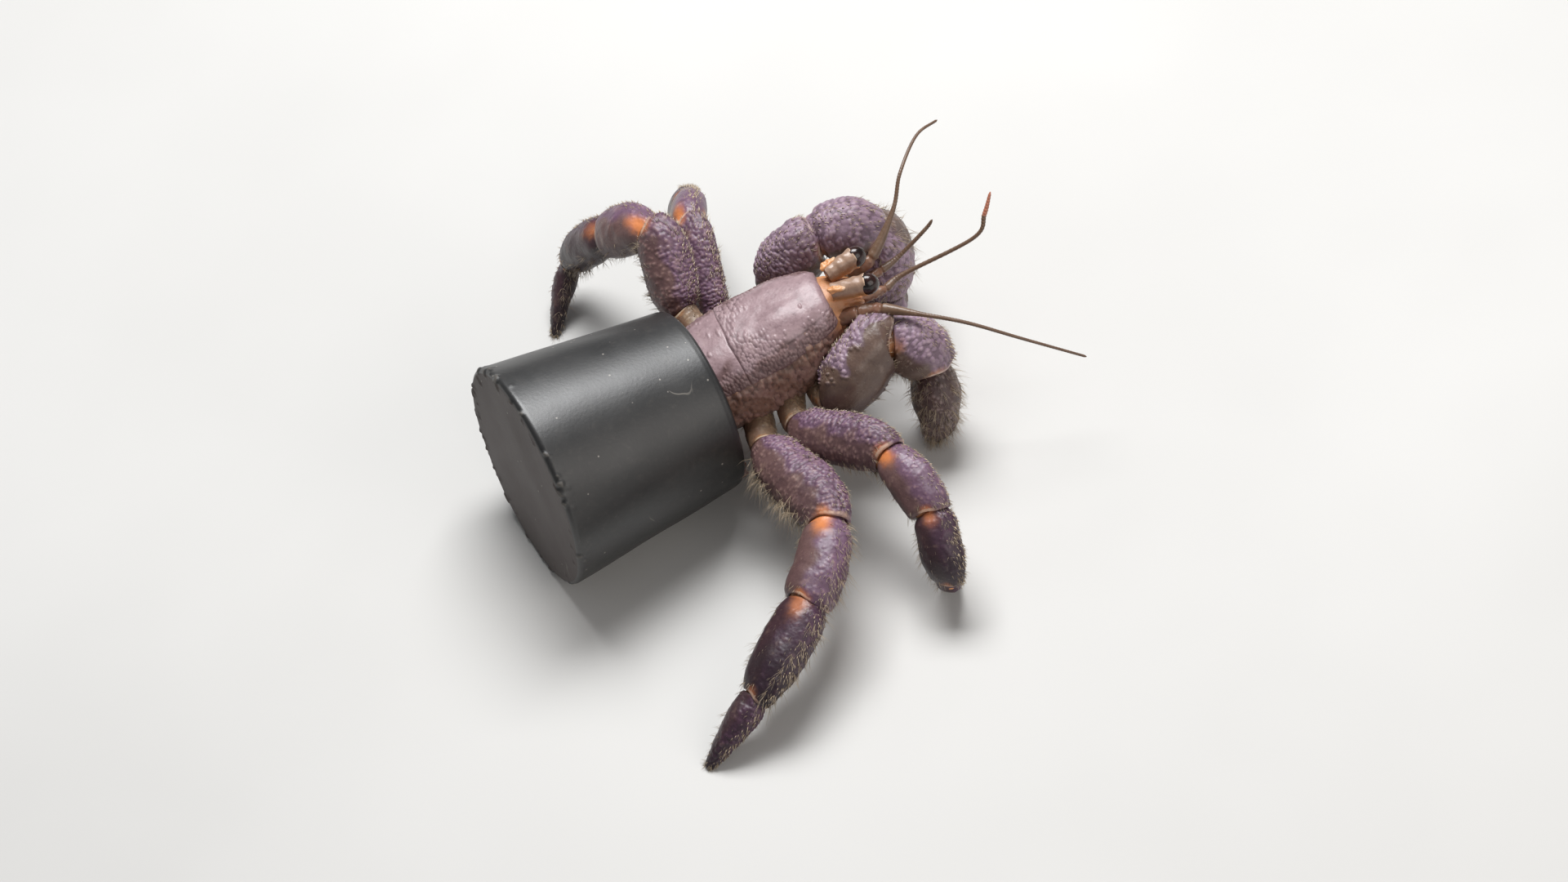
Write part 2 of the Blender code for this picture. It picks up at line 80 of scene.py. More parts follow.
def lineBetween(p0, p1, d0, d1, t):
    # cubic from p0 to p1 that leaves along d0 and arrives along d1: points and unit directions
    p0, p1 = np.asarray(p0, float), np.asarray(p1, float)
    reach = np.linalg.norm(p1 - p0) * bend
    a, b, t = d0 * reach, d1 * reach, np.asarray(t, float)[:, None]
    points = p0 * (1 + 2 * t) * (1 - t) ** 2 + p1 * t * t * (3 - 2 * t) + a * t * (1 - t) ** 2 - b * t * t * (1 - t)
    along = 6 * t * (1 - t) * (p1 - p0) + a * (1 - t) * (1 - 3 * t) + b * t * (3 * t - 2)
    return points, unit(along)


def jointDirections(joints):
    # the line's direction at each joint: halfway between the runs before and after it
    runs = [unit(b - a) for a, b in zip(joints, joints[1:])]
    return [runs[0]] + [unit(a + b) for a, b in zip(runs, runs[1:])] + [runs[-1]]


def carried(faces, directions):
    # the upper edge's direction at each joint, turned along with the limb so that it never twists
    ups = [np.asarray(faces, float)]
    for a, b in zip(directions, directions[1:]):
        ups.append(np.array(Vector(a).rotation_difference(Vector(b)) @ Vector(ups[-1])))
    return ups


def power(x, square):
    # keeps the sign, raises the size to 2 / square
    return np.sign(x) * np.abs(x) ** (2 / square)


def gridNormals(points, closed=True):
    # outward normals of a grid whose rows run along the limb and whose columns run round it
    along = np.gradient(points, axis=0)
    if closed:
        around = np.roll(points, -1, axis=1) - np.roll(points, 1, axis=1)
    else:
        around = np.gradient(points, axis=1)
    return unit(np.cross(along, around) + 1e-12)


def evenTurns(count, square=2.3, tall=1.15):
    # angles that step evenly round a rounded square of the given height to width
    dense = np.linspace(0, 2 * math.pi, 4000)
    x, y = power(np.cos(dense), square), tall * power(np.sin(dense), square)
    arc = np.concatenate(([0], np.cumsum(np.hypot(np.diff(x), np.diff(y)))))
    return np.interp(np.linspace(0, arc[-1], count, endpoint=False), arc, dense)


def loft(points, along, faces, top, bottom, side, turns, square=2.3, keel=0.0):
    # rings square to the line: sideways by the cosine and upwards by the sine, both raised to 2 / square,
    # and drawn in towards the upper edge by keel
    faces = np.broadcast_to(np.asarray(faces, float), along.shape)
    up = unit(faces - (along * faces).sum(axis=1)[:, None] * along)
    across = np.cross(along, up)
    x, y = power(np.cos(turns), square), power(np.sin(turns), square)
    x = x * (1 - keel * smooth(0.0, 1.1, y) - 0.4 * keel * smooth(0.2, 1.1, -y))
    middle, half = (top - bottom) / 2, (top + bottom) / 2
    return (points[:, None] + across[:, None] * (side[:, None] * x)[..., None]
            + up[:, None] * (middle[:, None] + half[:, None] * y)[..., None])


def newMesh(name, points, faces, marks=None, uvs=None):
    # faces: list of integer arrays, each (count, 3) or (count, 4); marks: one number per point
    mesh = bpy.data.meshes.new(name)
    flat = np.concatenate([f.ravel() for f in faces]).astype(np.int32)
    sizes = np.concatenate([np.full(len(f), f.shape[1]) for f in faces]).astype(np.int32)
    mesh.vertices.add(len(points))
    mesh.vertices.foreach_set("co", (points * mm).astype(np.float32).ravel())
    mesh.loops.add(len(flat))
    mesh.loops.foreach_set("vertex_index", flat)
    mesh.polygons.add(len(sizes))
    mesh.polygons.foreach_set("loop_start", np.concatenate(([0], np.cumsum(sizes)[:-1])).astype(np.int32))
    mesh.update(calc_edges=True)
    mesh.shade_smooth()
    for label, values in (marks or {}).items():
        layer = mesh.attributes.new(label, "FLOAT", "POINT")
        layer.data.foreach_set("value", np.asarray(values, np.float32).ravel())
    if uvs is not None:
        mesh.uv_layers.new(name="OFBake").data.foreach_set("uv", uvs[flat].astype(np.float32).ravel())
    piece = bpy.data.objects.new(name, mesh)
    bpy.context.scene.collection.objects.link(piece)
    return piece


def tubePart(grid, marks):
    # a closed skin: rows along, columns round, and a point at the middle of each end
    n, m = grid.shape[:2]
    index = np.arange(n * m).reshape(n, m)
    beside = np.roll(index, -1, axis=1)
    quads = np.stack([index[:-1], index[1:], beside[1:], beside[:-1]], axis=-1).reshape(-1, 4)
    first = np.stack([np.full(m, n * m), index[0], beside[0]], axis=-1)
    last = np.stack([np.full(m, n * m + 1), beside[-1], index[-1]], axis=-1)
    points = np.concatenate([grid.reshape(-1, 3), [grid[0].mean(axis=0), grid[-1].mean(axis=0)]])
    full = {}
    for label, values in marks.items():
        values = np.broadcast_to(values, (n, m))
        full[label] = np.concatenate([values.ravel(), [values[0].mean(), values[-1].mean()]])
    return points, quads, np.concatenate([first, last]), full


def slabPart(outer, inner, marks):
    # a plate with a thickness: an outer and an inner open grid, stitched along their edges
    n, m = outer.shape[:2]
    index = np.arange(n * m).reshape(n, m)
    top = np.stack([index[:-1, :-1], index[1:, :-1], index[1:, 1:], index[:-1, 1:]], axis=-1).reshape(-1, 4)
    rim = np.concatenate([index[0], index[1:, -1], index[-1, -2::-1], index[-2:0:-1, 0]])
    after = np.roll(rim, -1)
    walls = np.stack([rim, after, after + n * m, rim + n * m], axis=-1)
    points = np.concatenate([outer.reshape(-1, 3), inner.reshape(-1, 3)])
    full = {k: np.tile(np.broadcast_to(v, (n, m)).ravel(), 2) for k, v in marks.items()}
    return points, np.concatenate([top, top[:, ::-1] + n * m, walls]), np.zeros((0, 3), int), full


def joined(name, parts):
    # one mesh from several parts: each part's face numbers are raised by the points before it
    starts = np.cumsum([0] + [len(p[0]) for p in parts])
    points = np.concatenate([p[0] for p in parts])
    quads = np.concatenate([p[1] + s for p, s in zip(parts, starts)])
    tris = np.concatenate([p[2] + s for p, s in zip(parts, starts)])
    labels = sorted({k for p in parts for k in p[3]})
    marks = {k: np.concatenate([p[3].get(k, np.zeros(len(p[0]))) for p in parts]) for k in labels}
    return newMesh(name, points, [f for f in (quads, tris) if len(f)], marks)


def scaleBumps(rowPlace, colPlace, girth, spacing, cover, rng, stretch=1.5, lean=0.35):
    # low domes in jittered rows, longer round the limb than along it and steeper on their far side
    # returns the height field 0..1; cover gives the share of domes kept at each place
    rows = np.arange(rowPlace.min(), rowPlace.max(), spacing * 0.86)
    cols = np.arange(0, girth, spacing * 1.15)
    r, c = np.meshgrid(rows, cols, indexing="ij")
    c = c + (np.arange(len(rows)) % 2)[:, None] * spacing * 0.57
    r = r + rng.uniform(-0.34, 0.34, r.shape) * spacing
    c = (c + rng.uniform(-0.34, 0.34, c.shape) * spacing) % girth
    size = rng.uniform(0.62, 1.0, r.shape)
    keep = rng.uniform(size=r.shape) < cover(r, c)
    r, c, size = r[keep], c[keep], size[keep]
    field = np.zeros((len(rowPlace), len(colPlace)), np.float32)
    block = 8
    for start in range(0, len(rowPlace), block):
        place = rowPlace[start:start + block]
        near = (r > place.min() - spacing) & (r < place.max() + spacing)
        if not near.any():
            continue
        y = (place[:, None, None] - r[near]) / (spacing * 0.56 * size[near])
        x = np.abs(colPlace[None, :, None] - c[near])
        x = np.minimum(x, girth - x) / (spacing * 0.56 * stretch * size[near] ** 0.5)
        dome = np.sqrt(np.clip(1 - x * x - y * y, 0, None)) * (1 + lean * y) * size[near]
        field[start:start + block] = dome.max(axis=2)
    return field


class Coat:
    # gathers bristles and joins them into one mesh: each a bent, tapered three-sided hair
    def __init__(self):
        self.parts = []

    def add(self, root, way, length, radius, droop, uv, tone):
        n = len(root)
        if n:
            wide = [np.broadcast_to(np.asarray(a, float), (n,)) for a in (length, radius, tone)]
            self.parts.append((root, unit(way), wide[0], wide[1], np.broadcast_to(droop, (n, 3)), uv, wide[2]))

    def build(self, name, knees=2):
        root, way, length, radius, droop, uv, tone = (np.concatenate([p[k] for p in self.parts]) for k in range(7))
        n = len(root)
        side = unit(np.cross(way, np.where(np.abs(way[:, 2:]) > 0.8, [[1.0, 0, 0]], [[0, 0, 1.0]])))
        other = np.cross(way, side)
        turns = np.arange(3) * 2 * math.pi / 3
        ring = side[:, None] * np.cos(turns)[None, :, None] + other[:, None] * np.sin(turns)[None, :, None]
        levels = []
        for k in range(knees):
            s = k / knees
            middle = root + way * (length * s)[:, None] + droop * (length * s * s)[:, None]
            levels.append(middle[:, None] + ring * (radius * (1 - 0.55 * s))[:, None, None])
        tip = root + way * length[:, None] + droop * length[:, None]
        points = np.concatenate(levels + [tip[:, None]], axis=1)
        points[..., 2] = np.maximum(points[..., 2], 0.03 + 0.01 * np.arange(points.shape[1]))
        count = 3 * knees + 1
        base = (np.arange(n) * count)[:, None, None]
        quads = []
        for k in range(knees - 1):
            quads += [[3 * k + j, 3 * k + (j + 1) % 3, 3 * k + 3 + (j + 1) % 3, 3 * k + 3 + j] for j in range(3)]
        low = 3 * (knees - 1)
        tris = [[low + j, low + (j + 1) % 3, count - 1] for j in range(3)] + [[2, 1, 0]]
        faces = [(np.array(quads)[None] + base).reshape(-1, 4), (np.array(tris)[None] + base).reshape(-1, 3)]
        reach = np.concatenate([np.repeat(np.arange(knees) / knees, 3), [1.0]])
        spot = np.stack([np.cos(turns), np.sin(turns)], -1) * 0.0015
        spots = np.concatenate([spot] * knees + [[[0, 0]]])
        uvs = (uv[:, None] + spots[None]).reshape(-1, 2)
        marks = {"tone": np.repeat(tone, count), "reach": np.tile(reach, n)}
        return newMesh(name, points.reshape(-1, 3), faces, marks, uvs)


def nodeTools(tree, wanted):
    # short makers for the nodes of one tree, given back in the order of wanted
    nodes, links = tree.nodes, tree.links

    def put(kind, **settings):
        node = nodes.new(kind)
        for key, value in settings.items():
            if key == "inputs":
                for slot, v in value.items():
                    if isinstance(v, bpy.types.NodeSocket):
                        links.new(v, node.inputs[slot])
                    else:
                        node.inputs[slot].default_value = v
            else:
                setattr(node, key, value)
        return node

    def maths(op, a, b=0.0, c=0.0, clamp=False):
        return put("ShaderNodeMath", operation=op, use_clamp=clamp, inputs={0: a, 1: b, 2: c}).outputs[0]

    def mix(fac, a, b, blend="MIX"):
        node = put("ShaderNodeMix", data_type="RGBA", blend_type=blend)
        for slot, v in (("Factor", fac), ("A", a), ("B", b)):
            socket = next(s for s in node.inputs if s.name == slot and s.enabled)
            if isinstance(v, bpy.types.NodeSocket):
                links.new(v, socket)
            else:
                socket.default_value = v if slot == "Factor" else (*v, 1) if len(v) == 3 else v
        return next(s for s in node.outputs if s.enabled)

    def remap(value, low, high, a=0.0, b=1.0):
        node = put("ShaderNodeMapRange", interpolation_type="SMOOTHSTEP",
                   inputs={"From Min": low, "From Max": high, "To Min": a, "To Max": b})
        links.new(value, node.inputs["Value"])
        return node.outputs[0]

    def noise(vector, scale, detail=3.0, rough=0.55, distort=0.0):
        return put("ShaderNodeTexNoise", inputs={"Vector": vector, "Scale": scale, "Detail": detail,
                                                 "Roughness": rough, "Distortion": distort}).outputs[0]

    def mark(label):
        return put("ShaderNodeAttribute", attribute_type="GEOMETRY", attribute_name=label).outputs["Fac"]

    def here():
        return put("ShaderNodeTexCoord").outputs["Object"]

    def bump(height, strength, distance, normal=None):
        node = put("ShaderNodeBump", inputs={"Strength": strength, "Distance": distance, "Height": height})
        if normal is not None:
            links.new(normal, node.inputs["Normal"])
        return node.outputs[0]

    tools = dict(put=put, maths=maths, mix=mix, remap=remap, noise=noise, mark=mark, here=here, bump=bump,
                 link=links.new)
    return [tools[label] for label in wanted.split()]


def newMaterial(name, wanted, values):
    # a material with its shader's own values set: the material, the shader's inputs and the makers wanted
    material = bpy.data.materials.new(name)
    material.use_nodes = True
    inputs = material.node_tree.nodes["Principled BSDF"].inputs
    for label, value in values.items():
        inputs[label].default_value = value
    return material, inputs, *nodeTools(material.node_tree, wanted)


def newGroup(name, inputs, outputs):
    # a node group with named inputs and outputs: the group, its given values and what it puts out
    group = bpy.data.node_groups.new(name, "ShaderNodeTree")
    for label, kind, value in inputs:
        socket = group.interface.new_socket(label, in_out="INPUT", socket_type=kind)
        socket.default_value = value
    for label, kind in outputs:
        group.interface.new_socket(label, in_out="OUTPUT", socket_type=kind)
    return group, group.nodes.new("NodeGroupInput").outputs, group.nodes.new("NodeGroupOutput").inputs


def buildShellFinish():
    # the crab's plates: a tinted back, plainer sides and underside, scales with pale heads and painted shade in the
    # valleys between them, painted warm light through the thin places, pale rims and painted shade at the neck
    colour, number, vector = "NodeSocketColor", "NodeSocketFloat", "NodeSocketVector"
    grey = (0.5, 0.5, 0.5, 1)
    group, given, out = newGroup("shellFinish", [
        ("Back", colour, grey), ("Side", colour, grey), ("Dark", colour, grey), ("Glow", colour, grey),
        ("Rim", colour, grey), ("Darken", number, 0.5), ("Grain", number, 1.0), ("Seed", number, 0.0),
    ], [("Color", colour), ("Roughness", number), ("Normal", vector)])
    put, maths, mix, remap, noise, mark, here, bump, link = nodeTools(
        group, "put maths mix remap noise mark here bump link")
    place = put("ShaderNodeVectorMath", operation="ADD", inputs={0: here(), 1: given["Seed"]}).outputs[0]
    cloud = noise(place, 210, 4)
    veil = noise(place, 620, 3, 0.6)
    speck = noise(place, 1900, 3, 0.6)
    fleck = noise(place, 5200, 2, 0.6)

    def stirred(value, by, amount):
        return maths("ADD", value, maths("MULTIPLY", maths("SUBTRACT", by, 0.5), amount))

    back = remap(stirred(mark("back"), cloud, 1.0), 0.2, 0.8)
    base = mix(back, given["Side"], given["Back"])
    base = mix(remap(stirred(mark("under"), cloud, 0.6), 0.2, 0.9, 0.0, 0.55), base, given["Dark"])
    outer = remap(stirred(mark("along"), cloud, 0.9), 0.2, 1.0)
    base = mix(maths("MULTIPLY", given["Darken"], outer), base, given["Dark"])
    base = mix(remap(veil, 0.45, 0.75, 0.0, 0.30), base, given["Dark"])
    base = mix(remap(veil, 0.45, 0.25, 0.0, 0.16), base, given["Rim"])
    base = mix(remap(speck, 0.5, 0.72, 0.0, 0.28), base, given["Dark"])
    base = mix(remap(fleck, 0.66, 0.78, 0.0, 0.35), base, given["Rim"])
    raised = maths("MULTIPLY", mark("bumps"), given["Grain"])
    base = mix(remap(raised, 0.5, 1.0, 0.0, 0.30), base, mix(0.55, given["Back"], given["Rim"]))
    # painted shade: the low ground between the scales is darkened towards the dark colour
    shadeInValleys = maths("MULTIPLY", maths("MULTIPLY", remap(mark("bumps"), 0.0, 0.35, 1.0, 0.0), mark("grained")), 0.6)
    base = mix(shadeInValleys, base, given["Dark"])
    # painted light: warm glow of light through the thin shell near the joints
    warm = remap(stirred(mark("glow"), veil, 0.5), 0.15, 0.85, 0.0, 0.95)
    base = mix(warm, base, given["Glow"])
    base = mix(remap(stirred(mark("rim"), speck, 0.8), 0.3, 0.8, 0.0, 0.8), base, given["Rim"])
    base = mix(maths("MULTIPLY", mark("shade"), 0.6), base, given["Dark"])
    link(base, out["Color"])
    rough = maths("ADD", remap(cloud, 0.3, 0.7, 0.36, 0.46), maths("MULTIPLY", mark("grained"), 0.12))
    link(rough, out["Roughness"])
    cells = put("ShaderNodeTexVoronoi", feature="SMOOTH_F1",
                inputs={"Vector": place, "Scale": 2300, "Smoothness": 0.5}).outputs[0]
    height = maths("ADD", maths("MULTIPLY", cells, 0.55), maths("MULTIPLY", fleck, 0.35))
    link(bump(height, 0.45, 0.00011), out["Normal"])
    return group


def shellMaterial(name, looks):
    # the shared finish with one kind of surface's own colours and amounts
    material, shader, put, link = newMaterial(name, "put link", {
        "Coat Weight": looks.get("coat", 0.12), "Coat Roughness": 0.25, "Subsurface Weight": looks.get("soft", 0.0),
        "Subsurface Scale": 0.0012, "Subsurface Radius": (1.0, 0.45, 0.25)})
    group = put("ShaderNodeGroup", node_tree=shellFinish)
    for label in ("Back", "Side", "Dark", "Glow", "Rim"):
        group.inputs[label].default_value = (*looks[label.lower()], 1)
    for label in ("Darken", "Grain", "Seed"):
        group.inputs[label].default_value = looks[label.lower()]
    for made, socket in (("Color", "Base Color"), ("Roughness", "Roughness"), ("Normal", "Normal")):
        link(group.outputs[made], shader[socket])
    return material


shellFinish = buildShellFinish()

# Colours of each kind of surface, how far it darkens outwards and how much its scales show
finishes = {
    "leg": dict(back=(0.180, 0.098, 0.160), side=(0.170, 0.095, 0.088), dark=(0.045, 0.018, 0.026),
                glow=(0.70, 0.235, 0.075), rim=(0.62, 0.42, 0.31), darken=0.35, grain=1.0, seed=0.0),
    "legTip": dict(back=(0.072, 0.030, 0.056), side=(0.058, 0.026, 0.032), dark=(0.010, 0.004, 0.007),
                   glow=(0.50, 0.165, 0.060), rim=(0.48, 0.32, 0.24), darken=0.8, grain=0.6, seed=0.3),
    "claw": dict(back=(0.300, 0.200, 0.270), side=(0.130, 0.080, 0.058), dark=(0.050, 0.024, 0.030),
                 glow=(0.60, 0.26, 0.110), rim=(0.60, 0.47, 0.40), darken=0.15, grain=1.0, seed=0.6),
    "shield": dict(back=(0.330, 0.225, 0.240), side=(0.170, 0.098, 0.096), dark=(0.062, 0.030, 0.034),
                   glow=(0.45, 0.22, 0.13), rim=(0.58, 0.44, 0.40), darken=0.1, grain=0.8, seed=0.9, coat=0.12),
    "flesh": dict(back=(0.250, 0.140, 0.115), side=(0.200, 0.105, 0.075), dark=(0.055, 0.026, 0.020),
                  glow=(0.55, 0.25, 0.11), rim=(0.60, 0.44, 0.34), darken=0.2, grain=0.8, seed=1.2, soft=0.15),
    "joint": dict(back=(0.50, 0.17, 0.065), side=(0.45, 0.16, 0.07), dark=(0.12, 0.035, 0.018),
                  glow=(0.66, 0.27, 0.11), rim=(0.80, 0.56, 0.38), darken=0.2, grain=0.4, seed=1.5, soft=0.3),
    "coxa": dict(back=(0.380, 0.260, 0.165), side=(0.300, 0.175, 0.110), dark=(0.090, 0.045, 0.030),
                 glow=(0.60, 0.28, 0.12), rim=(0.66, 0.52, 0.38), darken=0.3, grain=0.6, seed=1.4, soft=0.15),
    "feeler": dict(back=(0.150, 0.085, 0.050), side=(0.150, 0.085, 0.050), dark=(0.055, 0.030, 0.020),
                   glow=(0.42, 0.15, 0.09), rim=(0.40, 0.30, 0.22), darken=0.2, grain=0.5, seed=1.8),
    "stalk": dict(back=(0.340, 0.215, 0.150), side=(0.330, 0.150, 0.062), dark=(0.120, 0.055, 0.040),
                  glow=(0.66, 0.30, 0.12), rim=(0.70, 0.50, 0.34), darken=0.1, grain=0.2, seed=2.1, coat=0.2),
}
shells = {name: shellMaterial(name + "Finish", looks) for name, looks in finishes.items()}
print("finishes ready")


def buildBristleMaterial():
    # dark to pale by each hair's tone, paler towards its tip, with darker patches
    material, shader, mix, remap, noise, mark, here, link = newMaterial(
        "bristleFinish", "mix remap noise mark here link", {"Roughness": 0.42})
    hair = mix(mark("tone"), (0.095, 0.058, 0.040), (0.60, 0.47, 0.32))
    hair = mix(remap(mark("reach"), 0.3, 1.0, 0.0, 0.6), hair, (0.78, 0.68, 0.55))
    hair = mix(remap(noise(here(), 700), 0.35, 0.7, 0.0, 0.35), hair, (0.10, 0.06, 0.05))
    link(hair, shader["Base Color"])
    return material


bristleFinish = buildBristleMaterial()


def wear(piece, material, slot, *nodes):
    # gives a piece its finish and body, and hides the nodes of the frame that it stands for; slot is not used
    piece.data.materials.append(material)
    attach(piece, "root")
    if nodes:
        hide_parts(*nodes)


rootDepth = 0.05  # of a bristle under the skin
# Each plate has its own cell in its coat's map, and a margin inside the cell
coatMap = dict(cols=5, rows=3, margin=0.06, share=0.88)


def plant(coat, skin, count, where, length, radius, rng, lie=0.75, spread=0.25, tone=0.5, droop=0.1, tuft=1, cell=0):
    # bristles at random places of a skin, as dense as where says; each leans from the normal towards the line's
    # far end by lie, with a random spread; tuft bristles share a root
    grid, normals = skin["grid"], skin["normals"]
    n, m = grid.shape[:2]
    weight = np.clip(np.broadcast_to(where, (n, m)), 0, None).ravel().cumsum()
    count = int(count * (1.0))
    if weight[-1] <= 0 or count < 1:
        return
    pick = np.searchsorted(weight, rng.uniform(0, weight[-1], count))
    i, j = np.clip(pick // m, 0, n - 2), pick % m
    a, b = rng.uniform(0, 1, (2, count, 1))
    beside = (j + 1) % m
    near = grid[i, j] * (1 - a) + grid[i, beside] * a
    far = grid[i + 1, j] * (1 - a) + grid[i + 1, beside] * a
    root = near * (1 - b) + far * b
    out = normals[i, j]
    line = skin["line"][i]
    way = unit(out * (1.05 - lie) + line * lie + rng.normal(0, spread, (count, 3)))
    u = (cell % coatMap["cols"] + coatMap["margin"] + coatMap["share"] * (j + a[:, 0]) / m) / coatMap["cols"]
    v = (cell // coatMap["cols"] + coatMap["margin"] + coatMap["share"] * (i + b[:, 0]) / n) / coatMap["rows"]
    size = length * rng.uniform(0.55, 1.25, count)
    thick = radius * rng.uniform(0.8, 1.2, count)
    shade = np.clip(tone + rng.normal(0, 0.16, count), 0, 1)
    for _ in range(tuft):
        turned = unit(way + rng.normal(0, spread * 0.8, (count, 3)) * (tuft > 1))
        sag = np.array((0, 0, -droop)) + line * 0.15
        own = size * rng.uniform(0.8, 1.1, count)
        coat.add(root - out * rootDepth, turned, own, thick, sag, np.stack([u, v], -1), shade)


# Distances above, below and beside the line of each kind of plate, at places along it
plates = {
    "base": dict(at=(0, 0.5, 1), top=(2.1, 2.2, 2.1), bottom=(2.1, 2.2, 2.0), side=(2.0, 2.1, 1.9)),
    "merus": dict(at=(0, 0.2, 0.5, 0.8, 1), top=(2.1, 3.2, 3.8, 4.1, 3.3), bottom=(2.0, 3.1, 3.5, 3.2, 2.5),
                  side=(1.9, 2.7, 3.0, 2.9, 2.4)),
    "carpus": dict(at=(0, 0.25, 0.6, 0.9, 1), top=(2.4, 3.4, 4.0, 3.6, 3.0), bottom=(2.3, 3.0, 3.4, 3.2, 2.6),
                   side=(2.1, 2.7, 2.9, 2.8, 2.4)),
    "propodus": dict(at=(0, 0.2, 0.6, 0.9, 1), top=(2.5, 3.4, 3.4, 2.6, 1.9), bottom=(2.2, 2.9, 3.0, 2.3, 1.7),
                     side=(2.0, 2.6, 2.6, 2.0, 1.6)),
    "dactyl": dict(at=(0, 0.2, 0.6, 0.9, 1), top=(1.6, 2.0, 1.5, 0.8, 0.5), bottom=(1.5, 1.8, 1.3, 0.7, 0.4),
                   side=(1.4, 1.6, 1.2, 0.7, 0.5)),
    "armBase": dict(at=(0, 0.5, 1), top=(2.2, 2.3, 2.2), bottom=(2.2, 2.3, 2.2), side=(2.0, 2.1, 2.0)),
    "armMerus": dict(at=(0, 0.2, 0.55, 0.85, 1), top=(2.6, 3.9, 5.0, 5.1, 4.2), bottom=(2.6, 4.4, 5.2, 4.6, 3.6),
                     side=(2.3, 3.5, 4.0, 3.9, 3.2)),
    "armCarpus": dict(at=(0, 0.3, 0.7, 1), top=(3.7, 4.9, 5.0, 3.6), bottom=(3.1, 3.6, 3.5, 3.0),
                      side=(2.9, 3.9, 4.1, 3.2)),
    "palm": dict(at=(0, 0.14, 0.32, 0.48, 0.53, 0.56, 0.75, 0.92, 1),
                 top=(2.9, 4.9, 6.2, 6.2, 4.6, 0.2, -0.4, -0.3, -0.2),
                 bottom=(2.9, 4.8, 6.3, 6.5, 6.3, 6.1, 4.6, 2.4, 1.5),
                 side=(2.9, 3.9, 4.4, 4.2, 4.0, 3.7, 2.8, 1.4, 0.8)),
    "finger": dict(at=(0, 0.15, 0.5, 0.85, 1), top=(2.3, 3.0, 3.0, 1.7, 0.9), bottom=(2.2, 2.6, 2.2, 1.0, 0.5),
                   side=(2.6, 3.1, 2.6, 1.4, 0.8)),
}

# How each kind of plate is finished: spacing and height of its scales, how far they cover its back and its flanks,
# the height of the crest along its back, how far its section narrows to the back, how far its lip reaches over the
# next plate, the finish, and how much painted warm glow, light through the shell, shows at its root
grains = {
    "base": dict(spacing=0.50, height=0.07, back=0.5, flank=0.2, crest=0.0, keel=0.1, lap=0.3, look="coxa", warm=0.2),
    "merus": dict(spacing=0.52, height=0.20, back=1.0, flank=0.45, crest=0.30, keel=0.10, lap=0.8, look="leg",
                  warm=0.15),
    "carpus": dict(spacing=0.50, height=0.06, back=0.35, flank=0.02, crest=0.25, keel=0.10, lap=0.8, look="leg",
                   warm=1.0),
    "propodus": dict(spacing=0.52, height=0.07, back=0.45, flank=0.04, crest=0.25, keel=0.10, lap=0.7, look="legTip",
                     warm=0.75),
    "dactyl": dict(spacing=0.55, height=0.10, back=0.7, flank=0.3, crest=0.1, keel=0.08, lap=0.0, look="legTip",
                   warm=0.2),
    "armBase": dict(spacing=0.55, height=0.08, back=0.5, flank=0.2, crest=0.0, keel=0.1, lap=0.3, look="claw",
                    warm=0.1),
    "armMerus": dict(spacing=0.62, height=0.22, back=1.0, flank=0.02, crest=0.45, keel=0.12, lap=0.9, look="claw",
                     warm=0.1),
    "armCarpus": dict(spacing=0.60, height=0.16, back=0.8, flank=0.12, crest=0.25, keel=0.05, lap=0.8, look="claw",
                      warm=0.55),
    "palm": dict(spacing=0.62, height=0.20, back=0.9, flank=0.6, crest=0.0, keel=0.1, lap=0.0, look="claw", warm=0.1),
    "finger": dict(spacing=0.60, height=0.18, back=0.8, flank=0.6, crest=0.0, keel=0.1, lap=0.0, look="claw", warm=0.1),
}

# Limbs: joints from inside the body to the tip, the way the first upper edge looks, the size, and where a limb has
# them the growth of each plate (grow), the turn of the upper plate's scales (twist), its breadth (swell) and where
# its back begins (band), the side of the fingers (inner) and the size of the hand
legNodes = ("base", "merus", "carpus", "propodus", "dactyl")
clawNodes = ("base", "merus", "carpus", "palm", "finger")
legs = {
    "leg2_right": dict(joints=[(37.9, 6.0, 12.4), (37.4, -1.9, 12.4), (47.5, -14.2, 14.8), (50.7, -23.4, 12.6),
                               (50.3, -29.7, 6.2), (51.2, -24.6, 0)], faces=(0.6, 0.2, 0.8), size=0.95),
    "leg3_right": dict(joints=[(32.9, 6.0, 10.9), (32.3, -3.3, 11.4), (37.0, -20.2, 12.4), (31.6, -30.1, 10.2),
                               (21.7, -39.4, 6.0), (12.9, -43.8, 0)], faces=(0.85, 0.0, 0.55), size=1.0,
                       grow=(1, 1.06, 1.14, 1.2, 1.25)),
    "leg2_left": dict(joints=[(34.8, 13.0, 11.0), (31.0, 21.4, 10.8), (31.0, 33.8, 16.8), (31.4, 41.6, 12.2),
                              (30.4, 46.6, 6.2), (28.6, 44.4, 0)], faces=(0.3, 0.5, 0.8), size=0.86),
    "leg3_left": dict(joints=[(30.2, 13.0, 11.8), (26.8, 20.9, 14.6), (25.6, 30.8, 20.9), (19.9, 37.2, 16.0),
                              (13.4, 43.0, 6.4), (8.4, 36.9, 0)], faces=(0.45, 0.45, 0.8), size=0.98),
}
arms = {
    "claw_right": dict(joints=[(42.2, 6.6, 13.0), (42.5, 0.2, 13.4), (52.3, 3.2, 17.2), (56.5, 0.8, 13.0),
                               (54.6, -1.0, -0.1)], faces=(-0.2, -0.45, 0.9), inner=(0, 1, 0), size=0.98, hand=0.74,
                       twist=0.9, swell=1.1, band=(0.62, 0.95)),
    "claw_left": dict(joints=[(41.0, 12.0, 14.2), (39.4, 20.2, 14.8), (46.9, 22.8, 19.4), (53.9, 22.0, 18.6),
                              (53.0, 25.2, -0.1)], faces=(-0.2, 0.45, 0.9), inner=(0, -1, 0), size=1.0, hand=1.0,
                      twist=0.0, swell=1.0, band=(-0.15, 0.85)),
}
legGap, armGap = gap / 2, 0.32
